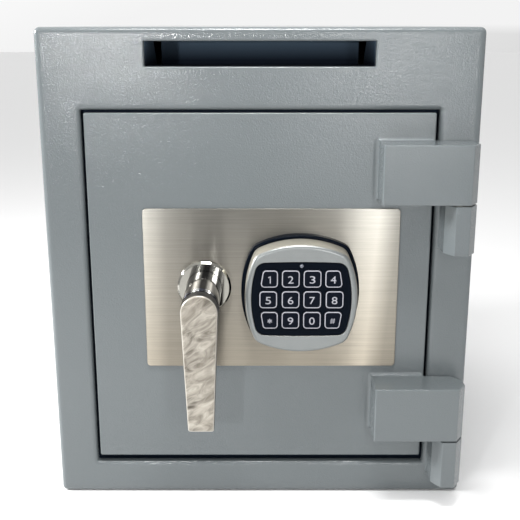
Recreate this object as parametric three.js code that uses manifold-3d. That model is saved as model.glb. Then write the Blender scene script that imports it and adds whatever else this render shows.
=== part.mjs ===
// Deposit safe: a steel cabinet with a deposit slot over a flush door, opened by a keypad lock and a lever.
// Millimetres, +Z up. +X is to the right of someone who faces the door and +Y runs from front to back.
// The origin is the middle of the underside. Inside the groups y = 0 is the front face of the safe:
// y grows into the safe, so whatever stands proud of the face has a negative y.
import * as THREE from "three";
import { mergeVertices } from "three/addons/utils/BufferGeometryUtils.js";
import Module from "manifold-3d";

// Driving dimensions: cabinet
const safe = {
  width: 340,
  height: 386,
  depth: 340,
  wall: 5,
  bend: 4.5, // outer radius of the four long bent edges
};
const face = {
  plate: 6,
  edge: 4, // rounding of the plate's outer edge
  doorwayEdge: 4, // rounding of the door's opening
};
const anchors = {
  hole: 13,
  spacingX: 210,
  spacingY: 160,
  fromFront: 90,
};
const slot = {
  width: 175,
  height: 18.7,
  belowTop: 10.3,
  edge: 1.5,
};
const chute = {
  sheet: 2,
  level: 28, // flat stretch behind the slot
  slopeDegrees: 35,
  reach: 134, // from the back of the front plate to the mouth
  cheekRun: 54, // length of the cheeks along the roof
  cheekEnd: 16, // height of the cheeks at the mouth
};
const baffle = {
  behindPlate: 86,
  sheet: 3,
  drop: 39,
  flange: 17,
  sideGap: 3.5,
  teeth: 12,
  toothDepth: 12,
};

// Driving dimensions: rails of the front plate around the door's opening, the door and its rebate
const rails = {
  side: 32,
  top: 61.5,
  bottom: 28,
};
const door = {
  plate: 10,
  edge: 1.2,
  sideGap: 2.5,
  topGap: 2,
  bottomGap: 6,
};
const rebate = {
  wall: 5,
  lip: 6, // thickness of the lip that the door closes against
  overlap: 6, // how far the lip reaches behind the door plate
  doorGap: 0.5,
};

// Driving dimensions: hinges. Each block on the door turns on a pin that stands in a knuckle on the frame.
const hinge = {
  beyondDoor: 18, // from the door's edge to the pin's axis
  proud: 15, // from the front face to the pin's axis
  barrel: 12, // half width of the barrel end
  nose: 5.5, // half width of the barrel's flat front
  chamfer: 10, // depth of the chamfers beside the nose
  heel: 4, // from the axis to where the block's back leaves the frame
  reach: 43.5, // how far a block lies on the door
  overDoorEdge: 0.5,
  frameGap: 1.5, // between a block's back and the frame
  blockHeight: 45.6,
  blockCorner: 1,
  upperFromTop: 66.5, // from the door's top to the underside of the upper block
  lowerFromBottom: 27.5, // from the door's bottom to the underside of the lower block
  upperKnuckle: 38.5,
  lowerKnuckle: 40.5,
  pin: 12,
  pinGap: 0.3,
  pinInKnuckle: 30,
  pinInBlock: 34,
  boreEnd: 1,
  washer: 0.7,
  washerWidth: 19,
  washerGap: 0.3,
};

// Driving dimensions: what stands on the door's front
const escutcheon = {
  beside: 9, // from the middle of the door
  above: 3.75,
  width: 203.5,
  height: 132,
  sheet: 1.5,
  corner: 3,
};
const handle = {
  beside: -53.5, // from the middle of the brushed plate
  above: 2.7,
  rose: 43,
  roseHeight: 5,
  roseRim: 1.5,
  roseSeat: 2, // flat ring beside the neck
  roseDish: 2,
  roseSlope: 1.5,
  neck: 28,
  neckGap: 0.3,
  standOff: 60, // from the front face to the back of the lever
  ring: 2.5, // width of the bright ring next to the lever
  groove: 1.5,
  grooveDepth: 1,
  leverTop: 27.6,
  leverTip: 19.6,
  leverLength: 95,
  leverThick: 12,
  leverThin: 8.5, // thickness at the tip
  leverEdge: 1.8,
  leverTipCorner: 2.5,
  leverTipFace: 4, // how far up the front the tip's bevel begins
  leverTipDrop: 2.2, // how deep it is at the end
  spindle: 12,
  spindleGap: 0.3,
  spindleInNeck: 18,
};
const keypad = {
  fromHandle: 76.5,
  above: 0.3, // from the middle of the brushed plate
  baseWidth: 94,
  baseHeight: 92.5,
  baseThick: 8,
  baseEdge: 1.5,
  width: 87.6,
  height: 87,
  front: 30, // from the front face of the safe to the front of the housing
  bulge: 79, // radius of the housing's four sides
  corner: 11,
  edge: 2,
  wall: 2.5,
  cable: 10,
};
const fascia = {
  width: 77.2,
  height: 59.5,
  sideBulge: 88,
  endBulge: 700,
  corner: 8,
  thick: 2.2,
  sunk: 0.3,
  gap: 0.3,
};
const keys = {
  size: 14,
  corner: 3,
  pitch: 16.7,
  proud: 0.7, // above the fascia
  slant: 2.3, // how far the outer corner keys lean in
  sideShift: 0.6, // how far the middle row's outer keys stand out
  edge: 0.5,
  gap: 0.35,
  flange: 0.9,
  flangeThick: 1,
  flangeGap: 0.3,
  travel: 1,
  stopGap: 0.2,
};
const lens = {
  diameter: 3,
  above: 26.8,
  proud: 0.2,
  length: 3.6,
  gap: 0.3,
};
const board = {
  thick: 1.6,
  gap: 0.4,
};
const battery = {
  width: 48.5,
  height: 26.5,
  thick: 17.4,
  corner: 2,
  below: 22,
  gap: 0.4,
};

// Driving dimensions: lock and boltwork behind the door plate
const hardPlate = {
  thick: 4,
  left: 35, // from the handle's axis
  right: 122,
  below: 66,
  above: 60,
  corner: 4,
};
const lock = {
  beside: 1, // from the keypad's centre
  below: 1.3,
  width: 61,
  height: 82,
  thick: 31,
  corner: 4,
  boltWidth: 14,
  boltThick: 12,
  boltLength: 30,
  boltTravel: 9,
  gap: 0.3,
  screwInset: 8,
};
const cover = {
  inset: 17.5, // from the door's edge, on both sides
  bottomInset: 13,
  topInset: 13.5,
  depth: 40,
  sheet: 2,
  studSide: 14, // studs on the hinge side, from the cover's wall
  studInset: 10, // studs from the cover's top and bottom
};
const bolts = {
  diameter: 20,
  behindPlate: 18, // from the door plate to the bolts' axes
  travel: 24,
  tipPastCover: 4, // withdrawn
  spacing: 85,
  nose: 2.5,
  noseRound: 0.75,
  spigot: 12,
  spigotGap: 0.3,
  holeGap: 0.6,
};
const carrier = {
  thick: 6,
  width: 24,
  wallGap: 2, // to the cover when the bolts are thrown
  tongue: 12,
  tongueHeight: 6,
  tongueGap: 0.5,
};
const guides = {
  height: 10,
  width: 30,
  fromCover: 1, // between a guide and the cover's top or bottom
  fromWall: 0.5,
  past: 6,
  groove: 6.3,
};
const cam = {
  thick: 6,
  behindPlate: 6,
  hub: 13,
  lobe: 8,
  pin: 8,
  pinEnd: 2, // how far the pin reaches past the drive plate
  slotGap: 0.8,
};
const drivePlate = {
  thick: 4,
  rootBelow: 35, // from the handle's axis
  armAbove: 6, // over the lock case
  armHeight: 22,
  armPast: 8,
  rootRight: 18, // past the slot
  notchDepth: 10,
  notchGap: 0.6,
  corner: 3,
  notchCorner: 1,
};
const clip = {
  width: 19,
  thick: 1.2,
  gap: 0.3,
  mouth: 8,
  grooveDepth: 1,
  end: 1, // what the spindle reaches past the groove
};
const dog = {
  fromCover: 3,
  riser: 6,
  reach: 8,
  thick: 8,
  height: 20,
  endInset: 26,
};
const screws = {
  shank: 4.4,
  head: 9,
  headHeight: 2.5,
  headEdge: 1,
  gap: 0.3,
};

// Roundness: segments of a full turn, and steps of a rounded corner or edge
const roundSegments = 32;
const boreSegments = 24;
const lensSegments = 16;
const screwSegments = 12;
const cornerSteps = 3;
const edgeSteps = 2;
const keyEdgeSteps = 1;
const bulgeSteps = 6;

// How far a body that cuts runs past the faces it cuts through
const past = 1;

// Places that follow from the driving dimensions
const opening = {
  left: rails.side - safe.width / 2,
  right: safe.width / 2 - rails.side,
  bottom: rails.bottom,
  top: safe.height - rails.top,
};
const doorLeft = opening.left + door.sideGap;
const doorRight = opening.right - door.sideGap;
const doorBottom = opening.bottom + door.bottomGap;
const doorTop = opening.top - door.topGap;
const slotTop = safe.height - slot.belowTop;
const slotBottom = slotTop - slot.height;
const roof = safe.height - safe.wall;
const chuteSlope = THREE.MathUtils.degToRad(chute.slopeDegrees);
const hingeX = doorRight + hinge.beyondDoor;
const hingeSets = [
  { side: "upper", blockBottom: doorTop - hinge.upperFromTop, knuckle: hinge.upperKnuckle },
  { side: "lower", blockBottom: doorBottom + hinge.lowerFromBottom, knuckle: hinge.lowerKnuckle },
];
const plateX = escutcheon.beside;
const plateZ = (doorBottom + doorTop) / 2 + escutcheon.above;
const handleX = plateX + handle.beside;
const handleZ = plateZ + handle.above;
const keypadX = handleX + keypad.fromHandle;
const keypadZ = plateZ + keypad.above;
const coverLeft = doorLeft + cover.inset;
const coverRight = doorRight - cover.inset;
const coverBottom = doorBottom + cover.bottomInset;
const coverTop = doorTop - cover.topInset;
const coverBack = door.plate + cover.depth;
const boltAxis = door.plate + bolts.behindPlate;
const boltMiddle = (coverBottom + coverTop) / 2;
const carrierLeft = coverLeft + cover.sheet + carrier.wallGap + bolts.travel;
const carrierRight = carrierLeft + carrier.thick;
const camFront = door.plate + cam.behindPlate;
const camBack = camFront + cam.thick;
const plateFront = boltAxis - drivePlate.thick / 2;
const plateBack = boltAxis + drivePlate.thick / 2;
const pinOffset = bolts.travel / 2; // the pin swings evenly about its lowest point, a quarter turn in all
const lockX = keypadX + lock.beside;
const lockBottom = keypadZ - lock.below - lock.height / 2;
const lockTop = lockBottom + lock.height;
const lockFront = door.plate + hardPlate.thick;
const housingBack = -(escutcheon.sheet + keypad.baseThick);
const fasciaFront = -(keypad.front - fascia.sunk);
const fasciaBack = fasciaFront + fascia.thick;
const flangeFront = fasciaBack + keys.flangeGap;
const boardFront = flangeFront + keys.flangeThick + keys.travel + keys.stopGap;
const boardBack = boardFront + board.thick;

// Colours and finishes
const paint = (color, roughness, metalness) =>
  new THREE.MeshStandardMaterial({ color, roughness, metalness });
const enamel = paint(0x7b8589, 0.5, 0.2);
const brushed = paint(0xb3a894, 0.35, 0.9);
const chrome = paint(0xd8dadd, 0.08, 1);
const pearl = paint(0xcfc4b4, 0.25, 0.7);
const silver = paint(0xa9b4bd, 0.4, 0.5);
const black = paint(0x0b0d14, 0.3, 0);
const keyBlack = paint(0x14161d, 0.45, 0);
const glow = paint(0x8d9299, 0.2, 0);
const zinc = paint(0xa7a9a6, 0.4, 0.9);
const hardSteel = paint(0x5c5a57, 0.55, 0.8);
const green = paint(0x1f5a38, 0.5, 0);
const cell = paint(0x2b2d31, 0.5, 0.1);

// Solids: three.js geometry in and out of the library that joins and cuts
const wasm = await Module();
wasm.setup();

function solid(geometry) {
  const bare = geometry.index ? geometry.toNonIndexed() : geometry.clone();
  bare.deleteAttribute("normal");
  bare.deleteAttribute("uv");
  const merged = mergeVertices(bare, 1e-4);
  const mesh = new wasm.Mesh({
    numProp: 3,
    vertProperties: new Float32Array(merged.attributes.position.array),
    triVerts: new Uint32Array(merged.index.array),
  });
  return new wasm.Manifold(mesh);
}

const join = (first, ...rest) => rest.reduce((sum, next) => sum.add(next), first);
const cut = (first, ...rest) => rest.reduce((left, next) => left.subtract(next), first);

function piece(group, name, body, material) {
  const { vertProperties, triVerts } = body.getMesh();
  const shared = new THREE.BufferGeometry();
  shared.setAttribute("position", new THREE.BufferAttribute(vertProperties, 3));
  shared.setIndex(new THREE.BufferAttribute(triVerts, 1));
  const geometry = shared.toNonIndexed();
  geometry.computeVertexNormals();
  const mesh = new THREE.Mesh(geometry, material);
  mesh.name = name;
  group.add(mesh);
}

// An outline with its corners rounded. A point is [u, v], or [u, v, radius] where its own radius differs.
function outline(points, radius = 0) {
  const drawn = [];
  points.forEach(([u, v, own], i) => {
    const r = own ?? radius;
    const corner = new THREE.Vector2(u, v);
    if (r === 0) {
      drawn.push(corner);
      return;
    }
    const last = points[(i + points.length - 1) % points.length];
    const next = points[(i + 1) % points.length];
    const back = new THREE.Vector2(last[0] - u, last[1] - v).normalize();
    const ahead = new THREE.Vector2(next[0] - u, next[1] - v).normalize();
    const half = Math.acos(back.dot(ahead)) / 2;
    const middle = back.clone().add(ahead).setLength(r / Math.sin(half)).add(corner);
    const start = back.clone().multiplyScalar(r / Math.tan(half)).add(corner).sub(middle);
    const sweep = (Math.PI - 2 * half) * Math.sign(ahead.cross(back));
    for (let k = 0; k <= cornerSteps; k++) {
      const turned = start.clone().rotateAround(new THREE.Vector2(), (sweep * k) / cornerSteps);
      drawn.push(turned.add(middle));
    }
  });
  return new THREE.Shape(drawn);
}

const rectangle = (left, right, bottom, top, radius = 0) =>
  outline([[left, bottom], [right, bottom], [right, top], [left, top]], radius);

// A cushion outline: two sides and two ends that are arcs, with rounded corners that run into them.
// The corner's centre is where two circles cross: each is an arc's own circle, drawn in by the corner.
function cushion(width, height, sideBulge, endBulge, corner) {
  const sideCentre = new THREE.Vector2(width / 2 - sideBulge, 0);
  const endCentre = new THREE.Vector2(0, height / 2 - endBulge);
  const toEnd = endCentre.clone().sub(sideCentre);
  const apart = toEnd.length();
  const reachSide = sideBulge - corner;
  const reachEnd = endBulge - corner;
  const along = (reachSide ** 2 - reachEnd ** 2 + apart ** 2) / (2 * apart);
  const across = Math.sqrt(reachSide ** 2 - along ** 2);
  toEnd.normalize();
  const centre = new THREE.Vector2(-toEnd.y, toEnd.x).multiplyScalar(across);
  centre.addScaledVector(toEnd, along).add(sideCentre);
  if (centre.x < 0) throw new Error("the cushion's corners are wider than its sides");
  const sideTurn = Math.atan2(centre.y, centre.x - sideCentre.x);
  const endTurn = Math.atan2(centre.y - endCentre.y, centre.x);
  const arc = (middle, r, from, to, steps) =>
    Array.from({ length: steps + 1 }, (_, k) => {
      const turn = from + ((to - from) * k) / steps;
      return [middle.x + r * Math.cos(turn), middle.y + r * Math.sin(turn)];
    });
  const side = arc(sideCentre, sideBulge, 0, sideTurn, bulgeSteps);
  const bend = arc(centre, corner, sideTurn, endTurn, cornerSteps);
  const end = arc(endCentre, endBulge, endTurn, Math.PI / 2, bulgeSteps);
  const quarter = [...side, ...bend.slice(1), ...end.slice(1)];
  const upper = [...quarter, ...quarter.slice(0, -1).reverse().map(([u, v]) => [-u, v])];
  const lower = upper.slice(1, -1).reverse().map(([u, v]) => [u, -v]);
  return outline([...upper, ...lower]);
}

// An outline pushed through a depth, square at the far end and rounded at the near one if edge is given
function pushed(shape, depth, edge, steps) {
  if (!edge) return solid(new THREE.ExtrudeGeometry(shape, { depth, bevelEnabled: false }));
  const rounded = new THREE.ExtrudeGeometry(shape, {
    depth: depth - edge,
    bevelThickness: edge,
    bevelSize: edge,
    bevelOffset: -edge,
    bevelSegments: steps,
  });
  rounded.computeBoundingBox();
  const { min, max } = rounded.boundingBox;
  const waste = box(min.x - past, max.x + past, min.y - past, max.y + past, -edge - past, 0);
  return cut(solid(rounded), waste);
}

// front: an outline in x and z, from y = near to y = far. side: in y and z. plan: in x and y.
const axisX = new THREE.Vector3(1, 0, 0);
const axisY = new THREE.Vector3(0, 1, 0);
const axisZ = new THREE.Vector3(0, 0, 1);
const back = new THREE.Vector3(0, -1, 0);

function placed(body, across, up, through, shift) {
  const turn = new THREE.Matrix4().makeBasis(across, up, through).setPosition(shift);
  return body.transform(turn.elements);
}
const front = (shape, near, far, edge = 0, steps = edgeSteps) =>
  placed(pushed(shape, far - near, edge, steps), axisX, axisZ, back, new THREE.Vector3(0, far, 0));
const side = (shape, left, right) =>
  placed(pushed(shape, right - left, 0), axisY, axisZ, axisX, new THREE.Vector3(left, 0, 0));
const plan = (shape, bottom, top) =>
  placed(pushed(shape, top - bottom, 0), axisX, axisY, axisZ, new THREE.Vector3(0, 0, bottom));

function box(left, right, near, far, bottom, top) {
  const made = new THREE.BoxGeometry(right - left, far - near, top - bottom);
  made.translate((left + right) / 2, (near + far) / 2, (bottom + top) / 2);
  return solid(made);
}

// Rods, and turned pieces given by radius and place along their axis
function rodY(x, z, radius, near, far, segments = boreSegments) {
  const made = new THREE.CylinderGeometry(radius, radius, far - near, segments);
  made.translate(x, (near + far) / 2, z);
  return solid(made);
}
function rodZ(x, y, radius, bottom, top, segments = boreSegments) {
  const made = new THREE.CylinderGeometry(radius, radius, top - bottom, segments);
  made.rotateX(Math.PI / 2);
  made.translate(x, y, (bottom + top) / 2);
  return solid(made);
}
function rodX(y, z, radius, left, right, segments = boreSegments) {
  const made = new THREE.CylinderGeometry(radius, radius, right - left, segments);
  made.rotateZ(Math.PI / 2);
  made.translate((left + right) / 2, y, z);
  return solid(made);
}
const turned = (profile, segments = roundSegments) =>
  solid(new THREE.LatheGeometry(profile.map(([r, y]) => new THREE.Vector2(r, y)), segments));

// Cabinet: bent shell, front plate with its two openings, and the rebate behind the door
function bodyShell() {
  const half = safe.width / 2;
  const outer = front(rectangle(-half, half, 0, safe.height, safe.bend), face.plate, safe.depth);
  const inner = half - safe.wall;
  const hollow = box(-inner, inner, face.plate - past, safe.depth - safe.wall, safe.wall, roof);
  const holes = [-1, 1].flatMap((turn) =>
    [0, anchors.spacingY].map((step) => {
      const x = (turn * anchors.spacingX) / 2;
      return rodZ(x, anchors.fromFront + step, anchors.hole / 2, -past, safe.wall + past);
    }),
  );
  return cut(outer, hollow, ...holes);
}

function frontFrame() {
  const half = safe.width / 2;
  const plate = front(rectangle(-half, half, 0, safe.height, safe.bend), 0, face.plate, face.edge);
  const around = (hole, edge) => {
    const shape = rectangle(-half - edge, half + edge, -edge, safe.height + edge);
    shape.holes.push(hole);
    return front(shape, 0, face.plate, edge);
  };
  const doorway = rectangle(opening.left, opening.right, opening.bottom, opening.top);
  const mouth = rectangle(-slot.width / 2, slot.width / 2, slotBottom, slotTop);
  return plate.intersect(around(doorway, face.doorwayEdge)).intersect(around(mouth, slot.edge));
}

function doorStopFrame() {
  const { left, right, bottom, top } = opening;
  const lipFront = door.plate + rebate.doorGap;
  const lipBack = lipFront + rebate.lip;
  const w = rebate.wall;
  const block = box(left - w, right + w, face.plate, lipBack, bottom - w, top + w);
  const seat = box(left, right, face.plate - past, lipFront, bottom, top);
  const way = box(
    doorLeft + rebate.overlap,
    doorRight - rebate.overlap,
    face.plate,
    lipBack + past,
    doorBottom + rebate.overlap,
    doorTop - rebate.overlap,
  );
  return cut(block, seat, way);
}

// Chute: a floor that runs level behind the slot and then down, between two cheeks that hang from the roof
function depositChute() {
  const near = face.plate;
  const bendY = near + chute.level;
  const far = near + chute.reach;
  const fall = (far - bendY) * Math.tan(chuteSlope);
  const under = slotBottom - chute.sheet;
  const mouth = slotBottom - fall;
  const thick = chute.sheet / Math.cos(chuteSlope);
  const floor = outline([
    [near, under],
    [bendY - chute.sheet * Math.tan(chuteSlope / 2), under],
    [far, mouth - thick],
    [far, mouth],
    [bendY, slotBottom],
    [near, slotBottom],
  ]);
  const cheek = outline([
    [near, under],
    [bendY - chute.sheet * Math.tan(chuteSlope / 2), under],
    [far, mouth - thick],
    [far, mouth + chute.cheekEnd],
    [near + chute.cheekRun, roof],
    [near, roof],
  ]);
  const half = slot.width / 2;
  return join(
    side(floor, -half, half),
    side(cheek, -half - chute.sheet, -half),
    side(cheek, half, half + chute.sheet),
  );
}

// Baffle: a sheet with a toothed lower edge, on a flange under the roof
function antiFishBaffle() {
  const half = slot.width / 2 - baffle.sideGap;
  const root = roof - baffle.drop + baffle.toothDepth;
  const pitch = (2 * half) / baffle.teeth;
  const edge = [];
  for (let i = 0; i < baffle.teeth; i++) {
    edge.push([-half + pitch * i, root]);
    edge.push([-half + pitch * (i + 0.5), root - baffle.toothDepth]);
  }
  const near = face.plate + baffle.behindPlate;
  const shape = outline([...edge, [half, root], [half, roof], [-half, roof]]);
  const sheet = front(shape, near, near + baffle.sheet);
  return sheet.add(box(-half, half, near - baffle.flange, near, roof - baffle.sheet, roof));
}

// Hinges: the barrel's section is an octagon, cut square where it meets the door or the frame
function hingeBlock(bottom) {
  const proud = 2 * hinge.proud;
  const tip = hingeX + hinge.barrel;
  const section = outline([
    [doorRight - hinge.reach, -proud, hinge.blockCorner],
    [hingeX + hinge.nose, -proud],
    [tip, -proud + hinge.chamfer],
    [tip, -hinge.chamfer],
    [hingeX + hinge.heel, -hinge.frameGap],
    [doorRight + hinge.overDoorEdge, -hinge.frameGap],
    [doorRight + hinge.overDoorEdge, 0],
    [doorRight - hinge.reach, 0],
  ]);
  const bore = hinge.pin / 2 + hinge.pinGap;
  const deep = hinge.pinInBlock + hinge.boreEnd;
  const block = plan(section, bottom, bottom + hinge.blockHeight);
  return cut(block, rodZ(hingeX, -hinge.proud, bore, bottom - past, bottom + deep));
}

function hingeKnuckle(top, height) {
  const proud = 2 * hinge.proud;
  const section = outline([
    [hingeX - hinge.nose, -proud],
    [hingeX + hinge.nose, -proud],
    [hingeX + hinge.barrel, -proud + hinge.chamfer],
    [hingeX + hinge.barrel, 0],
    [hingeX - hinge.barrel, 0],
    [hingeX - hinge.barrel, -proud + hinge.chamfer],
  ]);
  const bore = hinge.pin / 2 + hinge.pinGap;
  return cut(
    plan(section, top - height, top),
    rodZ(hingeX, -hinge.proud, bore, top - hinge.pinInKnuckle - hinge.pinGap, top + past),
  );
}

const hingePin = (top, blockBottom) =>
  rodZ(hingeX, -hinge.proud, hinge.pin / 2, top - hinge.pinInKnuckle, blockBottom + hinge.pinInBlock);

function hingeWasher(top) {
  const end = top + hinge.washer;
  const disc = rodZ(hingeX, -hinge.proud, hinge.washerWidth / 2, top, end);
  return cut(disc, rodZ(hingeX, -hinge.proud, hinge.pin / 2 + hinge.pinGap, top - past, end + past));
}

// Door: plate, hard plate, brushed plate, dog bar and the cover over the boltwork
const spindleBore = handle.spindle / 2 + handle.spindleGap;
const spindleHole = (near, far) => rodY(handleX, handleZ, spindleBore, near - past, far + past);
const cableHole = (near, far) => rodY(keypadX, keypadZ, keypad.cable / 2, near - past, far + past);

function doorPlate() {
  const plate = front(rectangle(doorLeft, doorRight, doorBottom, doorTop), 0, door.plate, door.edge);
  return cut(plate, spindleHole(0, door.plate), cableHole(0, door.plate));
}

function escutcheonPlate() {
  const { width, height, corner, sheet } = escutcheon;
  const [left, right] = [plateX - width / 2, plateX + width / 2];
  const shape = rectangle(left, right, plateZ - height / 2, plateZ + height / 2, corner);
  return cut(front(shape, -sheet, 0), spindleHole(-sheet, 0), cableHole(-sheet, 0));
}

function hardPlateSolid() {
  const shape = rectangle(
    handleX - hardPlate.left,
    handleX + hardPlate.right,
    handleZ - hardPlate.below,
    handleZ + hardPlate.above,
    hardPlate.corner,
  );
  const plate = front(shape, door.plate, lockFront);
  return cut(plate, spindleHole(door.plate, lockFront), cableHole(door.plate, lockFront));
}

function hingeSideDog() {
  const left = coverRight + dog.fromCover;
  const near = door.plate;
  const section = outline([
    [left, near],
    [left + dog.riser, near],
    [left + dog.riser, near + dog.height - dog.thick],
    [left + dog.riser + dog.reach, near + dog.height - dog.thick],
    [left + dog.riser + dog.reach, near + dog.height],
    [left, near + dog.height],
  ]);
  return plan(section, doorBottom + dog.endInset, doorTop - dog.endInset);
}

const studColumns = [
  { side: "left", x: carrierRight + guides.past + cover.studInset },
  { side: "right", x: coverRight - cover.studSide },
];
const studPlaces = studColumns.flatMap(({ side: at, x }) => [
  { name: "cover_stud_upper_" + at, x, z: coverTop - cover.studInset },
  { name: "cover_stud_lower_" + at, x, z: coverBottom + cover.studInset },
]);
const boltPlaces = [
  { name: "locking_bolt_upper", z: boltMiddle + bolts.spacing },
  { name: "locking_bolt_middle", z: boltMiddle },
  { name: "locking_bolt_lower", z: boltMiddle - bolts.spacing },
];

function boltCover() {
  const shape = rectangle(coverLeft, coverRight, coverBottom, coverTop, cover.sheet);
  const tray = front(shape, door.plate, coverBack);
  const s = cover.sheet;
  const hollow = box(
    coverLeft + s,
    coverRight - s,
    door.plate - past,
    coverBack - s,
    coverBottom + s,
    coverTop - s,
  );
  const boltHoles = boltPlaces.map(({ z }) =>
    rodX(boltAxis, z, bolts.diameter / 2 + bolts.holeGap, coverLeft - past, coverLeft + s + past),
  );
  const studHoles = studPlaces.map(({ x, z }) =>
    rodY(x, z, screws.shank / 2 + screws.gap, coverBack - s - past, coverBack + past, screwSegments),
  );
  return cut(tray, hollow, ...boltHoles, ...studHoles);
}

// A screw or stud that runs back along y, with a domed head at its far end
function screw(x, z, near, seat) {
  const shank = screws.shank / 2;
  const head = screws.head / 2;
  const top = seat + screws.headHeight;
  const profile = [
    [0, near],
    [shank, near],
    [shank, seat],
    [head, seat],
    [head, top - screws.headEdge],
    [head - screws.headEdge, top],
    [0, top],
  ];
  return turned(profile, screwSegments).translate(x, 0, z);
}

// Lock: the case is bored for its two screws and for the bolt that slides up out of it
const screwSide = lock.width / 2 - lock.screwInset;
const lockScrews = [
  { name: "lock_screw_upper", x: lockX - screwSide, z: lockTop - lock.screwInset },
  { name: "lock_screw_lower", x: lockX + screwSide, z: lockBottom + lock.screwInset },
];

function lockCase() {
  const half = lock.width / 2;
  const shape = rectangle(lockX - half, lockX + half, lockBottom, lockTop, lock.corner);
  const slack = lock.boltWidth / 2 + lock.gap;
  const deep = lock.boltThick / 2 + lock.gap;
  const bed = lockTop - lock.boltLength - lock.gap;
  const rear = lockFront + lock.thick;
  const bore = screws.shank / 2 + screws.gap;
  return cut(
    front(shape, lockFront, rear),
    box(lockX - slack, lockX + slack, boltAxis - deep, boltAxis + deep, bed, lockTop + past),
    ...lockScrews.map(({ x, z }) => rodY(x, z, bore, lockFront - past, rear + past, screwSegments)),
  );
}

function lockBolt() {
  const w = lock.boltWidth / 2;
  const t = lock.boltThick / 2;
  const tip = rectangle(lockX - w, lockX + w, lockTop - lock.boltLength, lockTop);
  return front(tip, boltAxis - t, boltAxis + t);
}

// Handle: the rosette stays on the door, and the neck, lever, spindle, cam and cam pin turn together.
// x and z start at the handle's axis.
function handleRose() {
  const outer = handle.rose / 2;
  const inner = handle.neck / 2 + handle.neckGap;
  const foot = -escutcheon.sheet;
  const top = foot - handle.roseHeight;
  return turned([
    [inner, top],
    [inner + handle.roseSeat, top],
    [outer - handle.roseDish, foot - handle.roseRim - handle.roseSlope],
    [outer, foot - handle.roseRim],
    [outer, foot],
    [inner, foot],
    [inner, top],
  ]);
}

function handleNeck() {
  const r = handle.neck / 2;
  const waist = r - handle.grooveDepth;
  const end = -handle.standOff;
  const bore = handle.spindle / 2 + handle.spindleGap;
  const foot = -(escutcheon.sheet + handle.neckGap);
  const socket = foot - handle.spindleInNeck - handle.spindleGap;
  const ring = end + handle.groove + handle.ring;
  return turned([
    [0, socket],
    [bore, socket],
    [bore, foot],
    [r, foot],
    [r, ring + handle.groove],
    [waist, ring + handle.groove],
    [waist, ring],
    [r, ring],
    [r, end + handle.groove],
    [waist, end + handle.groove],
    [waist, end],
    [0, end],
  ].reverse());
}

// The lever is a flat bar with a round head over the neck. It narrows to a bevelled tip and thins from behind.
function leverGrip() {
  const head = handle.leverTop / 2;
  const tip = handle.leverTip / 2;
  const lean = Math.asin((head - tip) / handle.leverLength);
  const around = new THREE.Shape();
  around.absarc(0, 0, head, lean + Math.PI, -lean, true);
  const arc = around.getPoints(roundSegments / 2).map(({ x, y }) => [x, y, 0]);
  const c = handle.leverTipCorner;
  const shape = outline([...arc, [tip, -handle.leverLength, c], [-tip, -handle.leverLength, c]]);
  const near = -(handle.standOff + handle.leverThick);
  const bar = front(shape, near, -handle.standOff, handle.leverEdge);
  const thin = handle.leverThick - handle.leverThin;
  const end = -handle.leverLength;
  const behind = outline([
    [-handle.standOff + past, -head],
    [-handle.standOff, -head],
    [-handle.standOff - thin, end],
    [-handle.standOff - thin, end - past],
    [-handle.standOff + past, end - past],
  ]);
  const bevel = outline([
    [near - past, end + handle.leverTipFace],
    [near, end + handle.leverTipFace],
    [near + handle.leverTipDrop, end],
    [near + handle.leverTipDrop, end - past],
    [near - past, end - past],
  ]);
  return cut(bar, side(behind, -head, head), side(bevel, -head, head));
}

function handleSpindle() {
  const r = handle.spindle / 2;
  const start = -(escutcheon.sheet + handle.neckGap + handle.spindleInNeck);
  const waist = r - clip.grooveDepth;
  const near = camBack + clip.gap / 2;
  const far = near + clip.thick + clip.gap;
  const end = far + clip.end;
  return turned(
    [[0, start], [r, start], [r, near], [waist, near], [waist, far], [r, far], [r, end], [0, end]],
    boreSegments,
  );
}

function spindleClip() {
  const near = camBack + clip.gap;
  const far = near + clip.thick;
  return cut(
    rodY(0, 0, clip.width / 2, near, far),
    rodY(0, 0, handle.spindle / 2 - clip.grooveDepth + handle.spindleGap, near - past, far + past),
    box(-clip.mouth / 2, clip.mouth / 2, near - past, far + past, 0, clip.width),
  );
}

function driveCam() {
  const { hub, lobe } = cam;
  const apart = Math.hypot(pinOffset, pinOffset);
  const lean = Math.asin((hub - lobe) / apart);
  const toPin = -Math.PI / 4;
  const shape = new THREE.Shape();
  shape.absarc(0, 0, hub, toPin + Math.PI / 2 - lean, toPin - Math.PI / 2 + lean, false);
  shape.absarc(pinOffset, -pinOffset, lobe, toPin - Math.PI / 2 + lean, toPin + Math.PI / 2 - lean, false);
  return cut(
    front(shape, camFront, camBack),
    rodY(0, 0, handle.spindle / 2 + handle.spindleGap, camFront - past, camBack + past),
    rodY(pinOffset, -pinOffset, cam.pin / 2 + handle.spindleGap, camFront - past, camBack + past),
  );
}

const camPin = () => rodY(pinOffset, -pinOffset, cam.pin / 2, camFront, plateBack + cam.pinEnd);

// Boltwork: three bolts on a carrier bar whose tongues run in two guides, drawn by the slotted drive plate
const guideBottom = coverBottom + cover.sheet + guides.fromCover;
const guideTop = coverTop - cover.sheet - guides.fromCover;
const carrierBottom = guideBottom + guides.height + carrier.tongueGap;
const carrierTop = guideTop - guides.height - carrier.tongueGap;

function carrierGuide(bottom, openDown) {
  const left = coverLeft + cover.sheet + guides.fromWall;
  const right = carrierRight + guides.past;
  const half = carrier.tongue / 2 + carrier.tongueGap;
  const block = box(left, right, door.plate, door.plate + guides.width, bottom, bottom + guides.height);
  const from = openDown ? bottom - past : bottom + guides.height - guides.groove;
  const to = openDown ? bottom + guides.groove : bottom + guides.height + past;
  return cut(block, box(left - past, right + past, boltAxis - half, boltAxis + half, from, to));
}

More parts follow.
